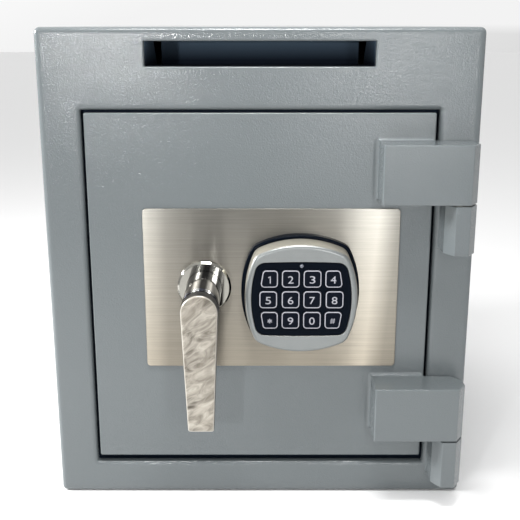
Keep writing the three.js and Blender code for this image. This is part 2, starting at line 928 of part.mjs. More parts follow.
function boltCarrier() {
  const half = carrier.width / 2;
  const tongue = carrier.tongue / 2;
  const bar = box(carrierLeft, carrierRight, boltAxis - half, boltAxis + half, carrierBottom, carrierTop);
  const long = box(
    carrierLeft,
    carrierRight,
    boltAxis - tongue,
    boltAxis + tongue,
    carrierBottom - carrier.tongueHeight,
    carrierTop + carrier.tongueHeight,
  );
  const holes = boltPlaces.map(({ z }) =>
    rodX(boltAxis, z, bolts.spigot / 2 + bolts.spigotGap, carrierLeft - past, carrierRight + past),
  );
  return cut(join(bar, long), ...holes);
}

function lockingBolt(z) {
  const r = bolts.diameter / 2;
  const tip = coverLeft - bolts.tipPastCover;
  const spigot = bolts.spigot / 2;
  const end = carrierRight - bolts.spigotGap;
  const profile = [
    [0, tip],
    [r - bolts.nose, tip],
    [r - bolts.noseRound, tip + bolts.noseRound],
    [r, tip + bolts.nose],
    [r, carrierLeft],
    [spigot, carrierLeft],
    [spigot, end],
    [0, end],
  ];
  return placed(turned(profile, boreSegments), back, axisX, axisZ, new THREE.Vector3(0, boltAxis, z));
}

function drivePlateSolid() {
  const slotX = handleX + pinOffset;
  const halfSlot = cam.pin / 2 + cam.slotGap;
  const lowest = handleZ - Math.SQRT2 * pinOffset;
  const highest = handleZ - pinOffset;
  const armBottom = lockTop + drivePlate.armAbove;
  const armTop = armBottom + drivePlate.armHeight;
  const armEnd = lockX + bolts.travel + lock.boltWidth / 2 + drivePlate.armPast;
  const rootEnd = slotX + drivePlate.rootRight;
  const notch = lock.boltWidth / 2 + drivePlate.notchGap;
  const notchTop = armBottom + drivePlate.notchDepth;
  const notches = [lockX, lockX + bolts.travel].flatMap((x) => [
    [x - notch, armBottom, 0],
    [x - notch, notchTop, drivePlate.notchCorner],
    [x + notch, notchTop, drivePlate.notchCorner],
    [x + notch, armBottom, 0],
  ]);
  const shape = outline([
    [carrierRight, handleZ - drivePlate.rootBelow],
    [rootEnd, handleZ - drivePlate.rootBelow, drivePlate.corner],
    [rootEnd, armBottom, drivePlate.corner],
    ...notches,
    [armEnd, armBottom, drivePlate.notchCorner],
    [armEnd, armTop, drivePlate.corner],
    [carrierRight, armTop],
  ]);
  shape.holes.push(
    rectangle(slotX - halfSlot, slotX + halfSlot, lowest - halfSlot, highest + halfSlot, cam.pin / 2),
  );
  return front(shape, plateFront, plateBack);
}

// Keypad: a base on the brushed plate, an open-backed housing and a fascia in its window.
// x and z start at the keypad's centre.
function keypadBase() {
  const shape = cushion(keypad.baseWidth, keypad.baseHeight, keypad.bulge, keypad.bulge, keypad.corner);
  const block = front(shape, housingBack, -escutcheon.sheet, keypad.baseEdge);
  const { width, height, below, gap } = battery;
  const pocket = box(
    -width / 2 - gap,
    width / 2 + gap,
    housingBack - past,
    boardBack + gap + battery.thick + gap,
    -below - height / 2 - gap,
    -below + height / 2 + gap,
  );
  return cut(block, pocket, rodY(0, 0, keypad.cable / 2, housingBack - past, 0));
}

const fasciaOutline = (grow) =>
  cushion(
    fascia.width + 2 * grow,
    fascia.height + 2 * grow,
    fascia.sideBulge,
    fascia.endBulge,
    fascia.corner + grow,
  );

function keypadHousing() {
  const { width, height, bulge, corner, wall, edge } = keypad;
  const outer = front(cushion(width, height, bulge, bulge, corner), -keypad.front, housingBack, edge);
  const inside = cushion(width - 2 * wall, height - 2 * wall, bulge - wall, bulge - wall, corner - wall);
  return cut(
    outer,
    front(inside, fasciaBack, housingBack + past),
    front(fasciaOutline(fascia.gap), -keypad.front - past, fasciaBack + past),
  );
}

// Keys: the outer key of the top row leans in at its top, that of the bottom row at its bottom
const keyNames = [
  ["key_1", "key_2", "key_3", "key_4"],
  ["key_5", "key_6", "key_7", "key_8"],
  ["key_star", "key_9", "key_0", "key_hash"],
];

function keyOutline(row, column, grow) {
  const h = keys.size / 2 + grow;
  const lastColumn = keyNames[row].length - 1;
  const lastRow = keyNames.length - 1;
  const outward = (column === lastColumn) - (column === 0);
  const inMiddle = row > 0 && row < lastRow;
  const x = (column - lastColumn / 2) * keys.pitch + (inMiddle ? outward * keys.sideShift : 0);
  const z = (lastRow / 2 - row) * keys.pitch;
  const lean = [row === lastRow ? keys.slant : 0, row === 0 ? keys.slant : 0];
  const left = (top) => x - h + (outward < 0 ? lean[top] : 0);
  const right = (top) => x + h - (outward > 0 ? lean[top] : 0);
  return outline(
    [[left(0), z - h], [right(0), z - h], [right(1), z + h], [left(1), z + h]],
    keys.corner + grow,
  );
}

function keypadFascia() {
  const shape = fasciaOutline(0);
  keyNames.forEach((row, r) => row.forEach((_, c) => shape.holes.push(keyOutline(r, c, keys.gap))));
  const bore = lens.diameter / 2 + lens.gap;
  return cut(
    front(shape, fasciaFront, fasciaBack),
    rodY(0, lens.above, bore, fasciaFront - past, fasciaBack + past, lensSegments),
  );
}

function keyCap(row, column) {
  const rear = flangeFront + keys.flangeThick;
  const cap = front(keyOutline(row, column, 0), fasciaFront - keys.proud, rear, keys.edge, keyEdgeSteps);
  return cap.add(front(keyOutline(row, column, keys.flange), flangeFront, rear));
}

function statusLens() {
  const near = fasciaFront - lens.proud;
  return rodY(0, lens.above, lens.diameter / 2, near, near + lens.length, lensSegments);
}

function keypadBoard() {
  const inset = keypad.wall + board.gap;
  const { width, height, bulge, corner } = keypad;
  const shape = cushion(width - 2 * inset, height - 2 * inset, bulge - inset, bulge - inset, corner - inset);
  return front(shape, boardFront, boardBack);
}

function batteryCell() {
  const { width, height, thick, below, gap } = battery;
  const near = boardBack + gap;
  const shape = rectangle(
    -width / 2,
    width / 2,
    -below - height / 2,
    -below + height / 2,
    battery.corner,
  );
  return front(shape, near, near + thick);
}

// Assembly
const group = (parent, x, y, z) => {
  const made = new THREE.Group();
  made.position.set(x, y, z);
  parent.add(made);
  return made;
};

const depositSafe = new THREE.Group();
const cabinetGroup = group(depositSafe, 0, -safe.depth / 2, 0);
piece(cabinetGroup, "body_shell", bodyShell(), enamel);
piece(cabinetGroup, "front_frame", frontFrame(), enamel);
piece(cabinetGroup, "door_stop_frame", doorStopFrame(), enamel);
piece(cabinetGroup, "deposit_chute", depositChute(), enamel);
piece(cabinetGroup, "anti_fish_baffle", antiFishBaffle(), zinc);

const doorGroup = group(depositSafe, 0, -safe.depth / 2, 0);
hingeSets.forEach(({ side: at, blockBottom, knuckle }) => {
  const top = blockBottom - hinge.washer - hinge.washerGap;
  piece(cabinetGroup, at + "_hinge_knuckle", hingeKnuckle(top, knuckle), enamel);
  piece(cabinetGroup, at + "_hinge_pin", hingePin(top, blockBottom), zinc);
  piece(cabinetGroup, at + "_hinge_washer", hingeWasher(top), zinc);
  piece(doorGroup, at + "_hinge_block", hingeBlock(blockBottom), enamel);
});

piece(doorGroup, "door_plate", doorPlate(), enamel);
piece(doorGroup, "hard_plate", hardPlateSolid(), hardSteel);
piece(doorGroup, "escutcheon_plate", escutcheonPlate(), brushed);
piece(doorGroup, "hinge_side_dog", hingeSideDog(), zinc);
piece(doorGroup, "bolt_cover", boltCover(), enamel);
studPlaces.forEach(({ name, x, z }) =>
  piece(doorGroup, name, screw(x, z, door.plate + screws.gap, coverBack), zinc),
);
piece(doorGroup, "carrier_guide_upper", carrierGuide(guideTop - guides.height, true), zinc);
piece(doorGroup, "carrier_guide_lower", carrierGuide(guideBottom, false), zinc);
piece(doorGroup, "lock_case", lockCase(), zinc);
lockScrews.forEach(({ name, x, z }) =>
  piece(doorGroup, name, screw(x, z, lockFront + screws.gap, lockFront + lock.thick), zinc),
);
piece(doorGroup, "lock_bolt", lockBolt(), zinc);

const handleGroup = group(doorGroup, handleX, 0, handleZ);
piece(handleGroup, "handle_rose", handleRose(), chrome);
piece(handleGroup, "handle_neck", handleNeck(), chrome);
piece(handleGroup, "lever_grip", leverGrip(), pearl);
piece(handleGroup, "handle_spindle", handleSpindle(), zinc);
piece(handleGroup, "spindle_clip", spindleClip(), zinc);
piece(handleGroup, "drive_cam", driveCam(), zinc);
piece(handleGroup, "cam_pin", camPin(), zinc);

const boltworkGroup = group(doorGroup, 0, 0, 0);
piece(boltworkGroup, "bolt_carrier", boltCarrier(), zinc);
piece(boltworkGroup, "drive_plate", drivePlateSolid(), zinc);
boltPlaces.forEach(({ name, z }) => piece(boltworkGroup, name, lockingBolt(z), zinc));

const keypadGroup = group(doorGroup, keypadX, 0, keypadZ);
piece(keypadGroup, "keypad_base", keypadBase(), black);
piece(keypadGroup, "keypad_housing", keypadHousing(), silver);
piece(keypadGroup, "keypad_fascia", keypadFascia(), black);
piece(keypadGroup, "keypad_board", keypadBoard(), green);
piece(keypadGroup, "battery", batteryCell(), cell);
piece(keypadGroup, "status_lens", statusLens(), glow);
keyNames.forEach((row, r) => row.forEach((name, c) => piece(keypadGroup, name, keyCap(r, c), keyBlack)));

export default depositSafe;
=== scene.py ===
# Deposit safe: its finishes and fine shapes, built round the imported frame.
# Sizes in the dictionaries are millimetres, and mm turns them into Blender's metres.
import math
from types import SimpleNamespace

import bmesh
import bpy
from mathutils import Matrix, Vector, noise


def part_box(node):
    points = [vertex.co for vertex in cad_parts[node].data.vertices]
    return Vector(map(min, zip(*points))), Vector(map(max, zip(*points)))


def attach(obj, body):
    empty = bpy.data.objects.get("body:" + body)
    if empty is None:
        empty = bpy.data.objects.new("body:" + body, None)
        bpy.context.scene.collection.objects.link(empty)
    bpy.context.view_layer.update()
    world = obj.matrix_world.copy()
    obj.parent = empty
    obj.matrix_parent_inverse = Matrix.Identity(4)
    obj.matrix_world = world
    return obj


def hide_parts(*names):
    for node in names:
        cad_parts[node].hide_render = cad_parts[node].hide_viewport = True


mm = 0.001
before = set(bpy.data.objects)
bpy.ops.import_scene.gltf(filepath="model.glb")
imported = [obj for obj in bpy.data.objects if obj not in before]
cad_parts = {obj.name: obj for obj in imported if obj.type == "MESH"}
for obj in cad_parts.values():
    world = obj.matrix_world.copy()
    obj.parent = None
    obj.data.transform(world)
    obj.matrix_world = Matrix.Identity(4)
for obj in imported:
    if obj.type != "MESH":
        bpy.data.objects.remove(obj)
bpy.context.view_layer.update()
print("frame: loaded", len(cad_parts), "nodes")


# Camera, as far off and as high as the picture was taken
camera = {
    "place": (0, -841.8, 388),
    "pitch": 74.84,  # degrees up from straight down
    "lens": 60.3,
    "sensor": 36,
}


def setCamera():
    data = bpy.data.cameras.new("camera")
    data.lens = camera["lens"]
    data.sensor_width = camera["sensor"]
    data.clip_start = 0.01
    holder = bpy.data.objects.new("camera", data)
    holder.location = Vector(camera["place"]) * mm
    holder.rotation_euler = (math.radians(camera["pitch"]), 0, 0)
    bpy.context.scene.collection.objects.link(holder)
    bpy.context.scene.camera = holder


setCamera()
print("camera: set")


# Where the frame's nodes are, in millimetres
def spanOf(node):
    low, high = (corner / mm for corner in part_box(node))
    return SimpleNamespace(
        left=low.x, right=high.x, front=low.y, back=high.y, bottom=low.z, top=high.z,
        midX=(low.x + high.x) / 2, midY=(low.y + high.y) / 2, midZ=(low.z + high.z) / 2,
        width=high.x - low.x, depth=high.y - low.y, height=high.z - low.z,
    )


# Shader maths: a Wire is an output socket, and a sum on it adds Math nodes
class Wire:
    def __init__(self, finish, socket):
        self.finish = finish
        self.socket = socket

    def sum(self, operation, first, second):
        return self.finish.add("ShaderNodeMath", {"operation": operation}, [first, second])

    def __add__(self, other):
        return self.sum("ADD", self, other)

    def __radd__(self, other):
        return self.sum("ADD", other, self)

    def __sub__(self, other):
        return self.sum("SUBTRACT", self, other)

    def __rsub__(self, other):
        return self.sum("SUBTRACT", other, self)

    def __mul__(self, other):
        return self.sum("MULTIPLY", self, other)

    def __rmul__(self, other):
        return self.sum("MULTIPLY", other, self)


# A Finish is a material in the making
class Finish:
    def __init__(self, name, world=None):
        self.material = world or bpy.data.materials.new(name)
        self.material.use_nodes = True
        self.tree = self.material.node_tree
        self.tree.nodes.clear()
        self.place = self.add("ShaderNodeTexCoord", output="Object")

    def add(self, kind, settings=None, sockets=(), output=0):
        node = self.tree.nodes.new(kind)
        for key, value in (settings or {}).items():
            if key == "stops":
                self.setStops(node.color_ramp, value)
            else:
                setattr(node, key, value)
        pairs = sockets.items() if isinstance(sockets, dict) else enumerate(sockets)
        for key, value in pairs:
            if isinstance(value, Wire):
                self.tree.links.new(value.socket, node.inputs[key])
            else:
                node.inputs[key].default_value = value
        return Wire(self, node.outputs[output]) if node.outputs else None

    def setStops(self, ramp, stops):
        while len(ramp.elements) < len(stops):
            ramp.elements.new(0.5)
        for element, (position, shade) in zip(ramp.elements, stops):
            element.position = position
            element.color = (shade, shade, shade, 1)

    def noise(self, grain, detail=2, roughness=0.5, stretch=None, distortion=0, tilt=None):
        # grain is the width of one patch, in millimetres
        place = self.place
        if tilt:
            turn = tuple(math.radians(angle) for angle in tilt)
            place = self.add("ShaderNodeMapping", {}, {"Vector": place, "Rotation": turn})
        if stretch:
            place = self.add("ShaderNodeVectorMath", {"operation": "MULTIPLY"}, [place, stretch])
        return self.add("ShaderNodeTexNoise", {}, {
            "Vector": place, "Scale": 1 / (grain * mm), "Detail": detail,
            "Roughness": roughness, "Distortion": distortion,
        })

    def ramp(self, wire, *stops):
        return self.add("ShaderNodeValToRGB", {"stops": stops}, [wire])

    def mix(self, share, first, second):
        ends = [end if isinstance(end, Wire) else (*end, 1) for end in (first, second)]
        return self.add("ShaderNodeMix", {"data_type": "RGBA"}, {0: share, 6: ends[0], 7: ends[1]}, 2)

    def tint(self, colour, shade):
        settings = {"data_type": "RGBA", "blend_type": "MULTIPLY"}
        return self.add("ShaderNodeMix", settings, {0: 1.0, 6: colour, 7: shade}, 2)

    def axis(self, name):
        return self.add("ShaderNodeSeparateXYZ", {}, [self.place], name)

    def facing(self):
        # 1 where the surface faces the front, 0 at its sides; the mask for light and shade painted by
        # facing
        normal = self.add("ShaderNodeTexCoord", output="Normal")
        return self.add("ShaderNodeSeparateXYZ", {}, [normal], "Y") * -1

    def bump(self, height, depth):
        return self.add("ShaderNodeBump", {}, {"Height": height, "Distance": depth * mm})

    def shade(self, **sockets):
        named = {key.replace("_", " "): value for key, value in sockets.items()}
        surface = self.add("ShaderNodeBsdfPrincipled", {}, named)
        self.add("ShaderNodeOutputMaterial", {}, [surface])
        return self.material


def shared(share, first, second):
    # the first's share, and the second for the rest
    return first * share + second * (1 - share)


# In every look a noise is its grain in millimetres, then its detail, its roughness and its stretch.
# dull is how much the grain varies the roughness, and depth is how deep the grain is in the surface.
enamelLook = {
    "light": (0.112, 0.127, 0.132),
    "dark": (0.099, 0.112, 0.117),
    "peel": (1.1, 2, 0.55),  # the orange peel
    "fine": (0.6, 1),
    "cloud": (140,),
    "cloudShare": 0.6,  # of the colour, and the peel has the rest
    "peelShare": 0.75,  # of the relief, and the fine grain has the rest
    "depth": 0.25,
    "roughness": 0.12,
    "dull": 0.16,
}


def enamelFinish():
    look = enamelLook
    f = Finish("grey_textured_enamel")
    peel, fine, cloud = (f.noise(*look[key]) for key in ("peel", "fine", "cloud"))
    return f.shade(
        Base_Color=f.mix(shared(look["cloudShare"], cloud, peel), look["dark"], look["light"]),
        Roughness=look["roughness"] + (fine - 0.5) * look["dull"],
        Normal=f.bump(shared(look["peelShare"], peel, fine), look["depth"]),
    )


brushedLook = {
    "light": (0.225, 0.218, 0.196),
    "dark": (0.167, 0.162, 0.146),
    "warm": (1.0, 0.93, 0.84),  # a warmer tint near the lower edge
    "paintedGlare": [  # painted reflection: how bright the plate is painted, from its left edge to its right edge
        (0.0, 1.4), (0.05, 1.3), (0.09, 1.05), (0.15, 0.87), (0.235, 0.76), (0.4, 0.74), (0.55, 0.78),
        (0.65, 0.9), (0.76, 0.98), (0.85, 1.25), (0.92, 1.4), (0.975, 0.95), (1.0, 0.8),
    ],
    "mostPaintedGlare": 1.4,
    "middle": ((0.1, 0.0), (0.28, 1.0), (0.62, 1.0), (0.85, 0.0)),  # where the painted glare at the lower edge counts
    "lowPaintedGlare": 0.85,  # painted reflection, brighter by so much at the lower edge, in the middle
    "lean": 0.055,  # the bright bands of painted reflection lean inward on the way down
    "grain": (1, 3, 0.6, (0.03, 1, 3.2)),  # the grain is drawn out along x
    "streak": (1, 2, 0.5, (0.006, 1, 1.3)),
    "grainShare": 0.6,
    "tone": ((0.3, 0.0), (0.7, 1.0)),
    "roughness": 0.33,
    "dull": 0.12,
    "brushed": 1.0,  # how far the gloss is drawn out, and the turn of it
    "brushedTurn": 0.25,
    "depth": 0.01,
}


def brushedFinish():
    look = brushedLook
    f = Finish("brushed_stainless_plate")
    grain, streak = f.noise(*look["grain"]), f.noise(*look["streak"])
    tone = f.ramp(shared(look["grainShare"], grain, streak), *look["tone"])
    span = spanOf("escutcheon_plate")
    across = (f.axis("X") - span.left * mm) * (1 / (span.width * mm))
    low = f.ramp((f.axis("Z") - span.bottom * mm) * (1 / (span.height * mm)), (0.0, 1.0), (1.0, 0.0))
    most = look["mostPaintedGlare"]
    # the plate's brightness across and up is painted in: painted reflections, bright at the ends and
    # lighter low down
    stops = [(place, share / most) for place, share in look["paintedGlare"]]
    across = across * (1 + low * look["lean"])
    middle = f.ramp(across, *look["middle"])
    paintedGlare = f.ramp(across, *stops) * (most + low * middle * (most * look["lowPaintedGlare"]))
    metal = f.tint(f.mix(tone, look["dark"], look["light"]), paintedGlare)
    return f.shade(
        Base_Color=f.tint(metal, f.mix(low, (1, 1, 1), look["warm"])),
        Metallic=1.0,
        Roughness=look["roughness"] + (grain - 0.5) * look["dull"],
        Anisotropic=look["brushed"],
        Anisotropic_Rotation=look["brushedTurn"],
        Normal=f.bump(grain, look["depth"]),
    )


neckLook = {
    "paintedReflectionBands": [  # painted reflections: light and dark bands along the neck, by the angle round it from one side
        (20, 0.0), (52, 0.05), (58, 0.9), (69, 1.0), (75, 0.05),
        (91, 0.0), (96, 1.0), (113, 0.9), (121, 0.03), (160, 0.0),
    ],
    "dark": (0.008, 0.011, 0.022),
    "light": (0.93, 0.94, 0.95),
    "smudge": (6,),
    "roughness": 0.05,
    "dull": 0.06,
}


def neckFinish():
    # the painted reflection bands are the same above and below
    look = neckLook
    f = Finish("chrome_painted_reflection_bands")
    span = spanOf("handle_neck")
    axis = (span.midX * mm, 0, span.midZ * mm)
    fromAxis = f.add("ShaderNodeVectorMath", {"operation": "SUBTRACT"}, [f.place, axis])
    fromAxis = f.add("ShaderNodeMapping", {}, {"Vector": fromAxis, "Rotation": (math.pi / 2, 0, 0)})
    turn = f.add("ShaderNodeTexGradient", {"gradient_type": "RADIAL"}, [fromAxis])
    upper = f.add("ShaderNodeMath", {"operation": "PINGPONG"}, [turn + 0.5, 0.5])
    stops = [(angle / 180, share) for angle, share in look["paintedReflectionBands"]]
    band = f.ramp(upper * 2, *stops)
    return f.shade(
        Base_Color=f.mix(band, look["dark"], look["light"]),
        Metallic=1.0,
        Roughness=look["roughness"] + f.noise(*look["smudge"]) * look["dull"],
    )


leverLook = {
    "light": (0.40, 0.372, 0.32),
    "middle": (0.19, 0.17, 0.14),
    "dark": (0.079, 0.068, 0.054),
    # rim is a painted highlight along the rounded edges, and side is painted shade on the lever's sides
    "rim": (0.36, 0.34, 0.30),
    "side": (0.02, 0.02, 0.022),
    "swirl": (16, 3, 0.6, (0.4, 0.3, 1), 0.9, (0, 35, 0)),  # painted reflections of the rippled face, beside the real bump; the last two are its distortion and its tilt
    "vein": (16 / 2.2, 3, 0.6, (0.4, 0.3, 1), 1.2, (0, 35, 0)),
    "swirlShare": 0.6,
    "swirlShades": ((0.3, 0.0), (0.62, 1.0)),
    "veinShades": ((0.35, 0.0), (0.68, 1.0)),
    "paintedHighlightFrom": ((0.75, 1.0), (0.94, 0.0)),  # painted highlight, by how squarely the surface faces the front
    "paintedSideFrom": ((0.2, 0.0), (0.45, 1.0)),
    "metallic": 0.55,
    "roughness": 0.3,
    "dull": 0.08,
    "depth": 0.5,
}


def leverFinish():
    look = leverLook
    f = Finish("rippled_lever_metal")
    swirl, vein = f.noise(*look["swirl"]), f.noise(*look["vein"])
    # the swirl and vein tones paint the mottled reflections of the rippled face into the colour, beside the
    # real ripples and bump
    tone = f.mix(f.ramp(swirl, *look["swirlShades"]), look["dark"], look["middle"])
    cast = f.mix(f.ramp(vein, *look["veinShades"]), tone, look["light"])
    facing = f.facing()
    # a painted highlight on the rounded edges, then painted shade on the sides, both by the way the surface
    # faces
    cast = f.mix(f.ramp(facing, *look["paintedHighlightFrom"]), cast, look["rim"])
    return f.shade(
        Base_Color=f.mix(f.ramp(facing, *look["paintedSideFrom"]), look["side"], cast),
        Metallic=look["metallic"],
        Roughness=look["roughness"] + vein * look["dull"],
        Normal=f.bump(shared(look["swirlShare"], swirl, vein), look["depth"]),
    )


silverLook = {
    "light": (0.235, 0.246, 0.242),
    "dark": (0.155, 0.167, 0.168),
    # side is a painted reflection: the housing's side walls lighter and warmer than its front
    "side": (0.42, 0.40, 0.34),
    "fleck": (0.45, 1),
    "cloud": (18,),
    "fleckShare": 0.5,
    "paintedSideFrom": ((0.3, 0.0), (0.7, 1.0)),
    "metallic": 0.65,
    "roughness": 0.34,
    "dull": 0.2,
    "depth": 0.02,
}


def silverFinish():
    look = silverLook
    f = Finish("keypad_silver")
    fleck, cloud = f.noise(*look["fleck"]), f.noise(*look["cloud"])
    face = f.mix(shared(look["fleckShare"], fleck, cloud), look["dark"], look["light"])
    return f.shade(
        # the side walls get the painted reflection, by the way the surface faces
        Base_Color=f.mix(f.ramp(f.facing(), *look["paintedSideFrom"]), look["side"], face),
        Metallic=look["metallic"],
        Roughness=look["roughness"] + (fleck - 0.5) * look["dull"],
        Normal=f.bump(fleck, look["depth"]),
    )


# Dark paint for the inside, with painted shade and light: darker low down, lighter near the roof
chuteLook = {
    "deep": (0.009, 0.014, 0.024),
    "roof": (0.11, 0.16, 0.22),
    "deepBelow": 358,  # heights between which the deep colour turns into the roof's: painted shade low down where the lamps reach in, painted light near the roof
    "roofFrom": 376,
    "haze": (6,),
    "grain": (1.5,),
    "specular": 0.05,
    "roughness": 0.7,
    "dull": 0.2,
    "depth": 0.05,
}


def chuteFinish():
    look = chuteLook
    f = Finish("chute_paint_painted_shade")
    rise = look["roofFrom"] - look["deepBelow"]
    height = (f.axis("Z") - look["deepBelow"] * mm) * (1 / (rise * mm))
    return f.shade(
        Base_Color=f.mix(f.ramp(height, (0.0, 0.0), (1.0, 1.0)), look["deep"], look["roof"]),
        Specular_IOR_Level=look["specular"],
        Roughness=look["roughness"] + f.noise(*look["haze"]) * look["dull"],
        Normal=f.bump(f.noise(*look["grain"]), look["depth"]),
    )


# Finishes of one grain, which varies the colour, the roughness and, where it has a depth, the surface
printLook = {
    "name": "key_print",
    "grain": (1.3,), "dark": (0.22, 0.22, 0.25), "light": (0.36, 0.36, 0.40),
    "roughness": 0.45, "dull": 0.1,
}
plainLooks = {
    "bright_chrome": {
        "name": "polished_chrome",
        "grain": (9, 3, 0.6), "dark": (0.235, 0.232, 0.208), "light": (0.29, 0.282, 0.255),
        "metallic": 1.0, "roughness": 0.05, "dull": 0.05,
    },
    "keypad_black": {
        "name": "keypad_gloss_black",
        "grain": (0.6, 1), "dark": (0.001, 0.002, 0.004), "light": (0.002, 0.004, 0.008),
        "specular": 0.03, "roughness": 0.16, "dull": 0.1, "depth": 0.004,
    },
    "key_black": {
        "name": "key_satin_black",
        "grain": (0.5,), "dark": (0.002, 0.003, 0.006), "light": (0.004, 0.006, 0.011),
        "specular": 0.03, "roughness": 0.34, "dull": 0.14, "depth": 0.012,
    },
    "lens_grey": {
        "name": "status_lens_grey",
        "grain": (0.9,), "dark": (0.06, 0.07, 0.09), "light": (0.16, 0.17, 0.20),
        "roughness": 0.12, "dull": 0.1,
    },
    "plated_steel": {
        "name": "zinc_plated_steel",
        "grain": (5, 3, 0.6), "dark": (0.32, 0.32, 0.30), "light": (0.48, 0.48, 0.46),
        "relief": (0.7, 2, 0.5, (1, 1, 0.25)),  # a finer grain for the surface
        "metallic": 0.95, "roughness": 0.26, "dull": 0.2, "depth": 0.02,
    },
    "hard_steel": {
        "name": "hard_plate_steel",
        "grain": (7, 4, 0.65), "dark": (0.07, 0.065, 0.06), "light": (0.17, 0.16, 0.15),
        "metallic": 0.8, "roughness": 0.45, "dull": 0.25, "depth": 0.08,
    },
    "board_green": {
        "name": "circuit_board_green",
        "grain": (3, 1, 0.4, (1, 1, 0.15)), "dark": (0.012, 0.09, 0.035), "light": (0.03, 0.19, 0.075),
        "edges": ((0.48, 0.0), (0.52, 1.0)),  # tracks with clear edges
        "roughness": 0.4, "dull": 0.1, "depth": 0.03,
    },
    "cell_jacket": {
        "name": "cell_jacket",
        "grain": (2, 2, 0.5, (0.2, 1, 1)), "dark": (0.02, 0.022, 0.03), "light": (0.05, 0.053, 0.065),
        "roughness": 0.3, "dull": 0.15, "depth": 0.03,
    },
}


def plainFinish(look):
    f = Finish(look["name"])
    grain = f.noise(*look["grain"])
    if "edges" in look:
        grain = f.ramp(grain, *look["edges"])
    sockets = {
        "Base_Color": f.mix(grain, look["dark"], look["light"]),
        "Metallic": look.get("metallic", 0),
        "Specular_IOR_Level": look.get("specular", 0.5),
        "Roughness": look["roughness"] + grain * look["dull"],
    }
    if "depth" in look:
        relief = f.noise(*look["relief"]) if "relief" in look else grain
        sockets["Normal"] = f.bump(relief, look["depth"])
    return f.shade(**sockets)


finishes = {slot: plainFinish(look) for slot, look in plainLooks.items()}
finishes["enamel"] = enamelFinish()
finishes["brushed_plate"] = brushedFinish()
finishes["lever_metal"] = leverFinish()
finishes["keypad_silver"] = silverFinish()
keyPrint = plainFinish(printLook)
chutePaintedShade = chuteFinish()
neckPaintedReflectionChrome = neckFinish()
print("finishes: made", len(finishes) + 3)


# Outlines: each is a function of how far it is grown outward, and always gives as many points
leastRadius = 0.01


def arcsOutline(arcs, skip=0):
    # an arc: u, v, radius, start, end, steps, and how many parts the straight run after it has
    def outline(grow=0):
        runs = []
        for u, v, radius, start, end, steps, *parts in arcs:
            reach = max(radius + grow, leastRadius)
            turns = [math.radians(start + (end - start) * k / steps) for k in range(skip, steps + 1)]
            run = [(u + reach * math.cos(turn), v + reach * math.sin(turn)) for turn in turns]
            runs.append((run, parts[0] if parts else 1))
        points = []
        for (run, parts), (after, _) in zip(runs, runs[1:] + runs[:1]):
            points += run
            for k in range(1, parts):
                start, end = run[-1], after[0]
                points.append((
                    start[0] + (end[0] - start[0]) * k / parts,
                    start[1] + (end[1] - start[1]) * k / parts,
                ))
        return points
    return outline


def polygonOutline(corners, radius=0.5, steps=4):
    # corners run anticlockwise, and one may carry its own radius; a corner that turns inward stays sharp
    def outline(grow=0):
        points = []
        for i, (u, v, *own) in enumerate(corners):
            here = Vector((u, v))
            into = (here - Vector(corners[i - 1][:2])).normalized()
            away = (Vector(corners[(i + 1) % len(corners)][:2]) - here).normalized()
            first, second = Vector((into.y, -into.x)), Vector((away.y, -away.x))
            mitre = (first + second) / (1 + first.dot(second))
            if into.cross(away) < 0:
                points.append(tuple(here + mitre * grow))
                continue
            r = max((own[0] if own else radius) + grow, leastRadius)
            centre = here + mitre * (grow - r)
            start = math.atan2(first.y, first.x)
            sweep = (math.atan2(second.y, second.x) - start) % math.tau
            for k in range(steps + 1):
                turn = start + sweep * k / steps
                points.append((centre.x + r * math.cos(turn), centre.y + r * math.sin(turn)))
        return points
    return outline


def rectangleOutline(left, right, bottom, top, radius=0.5, steps=5):
    return polygonOutline([(left, bottom), (right, bottom), (right, top), (left, top)], radius, steps)


def sheetOutline(span, radius, steps=5):
    return rectangleOutline(span.left, span.right, span.bottom, span.top, radius, steps)


def circleOutline(u, v, radius, steps=32):
    return arcsOutline([(u, v, radius, 0, 360, steps)], skip=1)


def cushionOutline(midX, midZ, width, height, sideBulge, endBulge, corner, steps=10):
    # two sides and two ends that are arcs, and corner arcs that run into them
    sideX = width / 2 - sideBulge
    endZ = height / 2 - endBulge
    apart = math.hypot(sideX, endZ)
    reachSide, reachEnd = sideBulge - corner, endBulge - corner
    along = (reachSide ** 2 - reachEnd ** 2 + apart ** 2) / (2 * apart)
    across = math.sqrt(reachSide ** 2 - along ** 2)
    toEnd = Vector((-sideX, endZ)).normalized()
    bend = Vector((sideX, 0)) + toEnd * along + Vector((-toEnd.y, toEnd.x)) * across
    sideTurn = math.degrees(math.atan2(bend.y, bend.x - sideX))
    endTurn = math.degrees(math.atan2(bend.y - endZ, bend.x))
    quarter = [
        (sideX, 0, sideBulge, 0, sideTurn),
        (bend.x, bend.y, corner, sideTurn, endTurn),
        (0, endZ, endBulge, endTurn, 90),
    ]
    mirrored = [(-u, v, r, 180 - end, 180 - start) for u, v, r, start, end in reversed(quarter)]
    upper = quarter + mirrored
    lower = [(-u, -v, r, start + 180, end + 180) for u, v, r, start, end in upper]
    arcs = [(midX + u, midZ + v, r, start, end, steps) for u, v, r, start, end in upper + lower]
    return arcsOutline(arcs, skip=1)


# Mesh building. A place function puts an outline's point and its depth into the frame.
joinWithin = 2e-7  # metres; points as close as this become one
past = 3  # how far a cutter runs out of the piece
slowTurn = 0.2  # radians over which a rolled edge turns slowly at first


def facingFront(u, v, depth):
    return Vector((u, depth, v)) * mm


def seenFromAbove(u, v, depth):
    return Vector((u, v, depth)) * mm


def addObject(name, bm):
    bmesh.ops.remove_doubles(bm, verts=bm.verts, dist=joinWithin)
    bmesh.ops.recalc_face_normals(bm, faces=bm.faces)
    mesh = bpy.data.meshes.new(name)
    bm.to_mesh(mesh)
    bm.free()
    made = bpy.data.objects.new(name, mesh)
    bpy.context.scene.collection.objects.link(made)
    return made


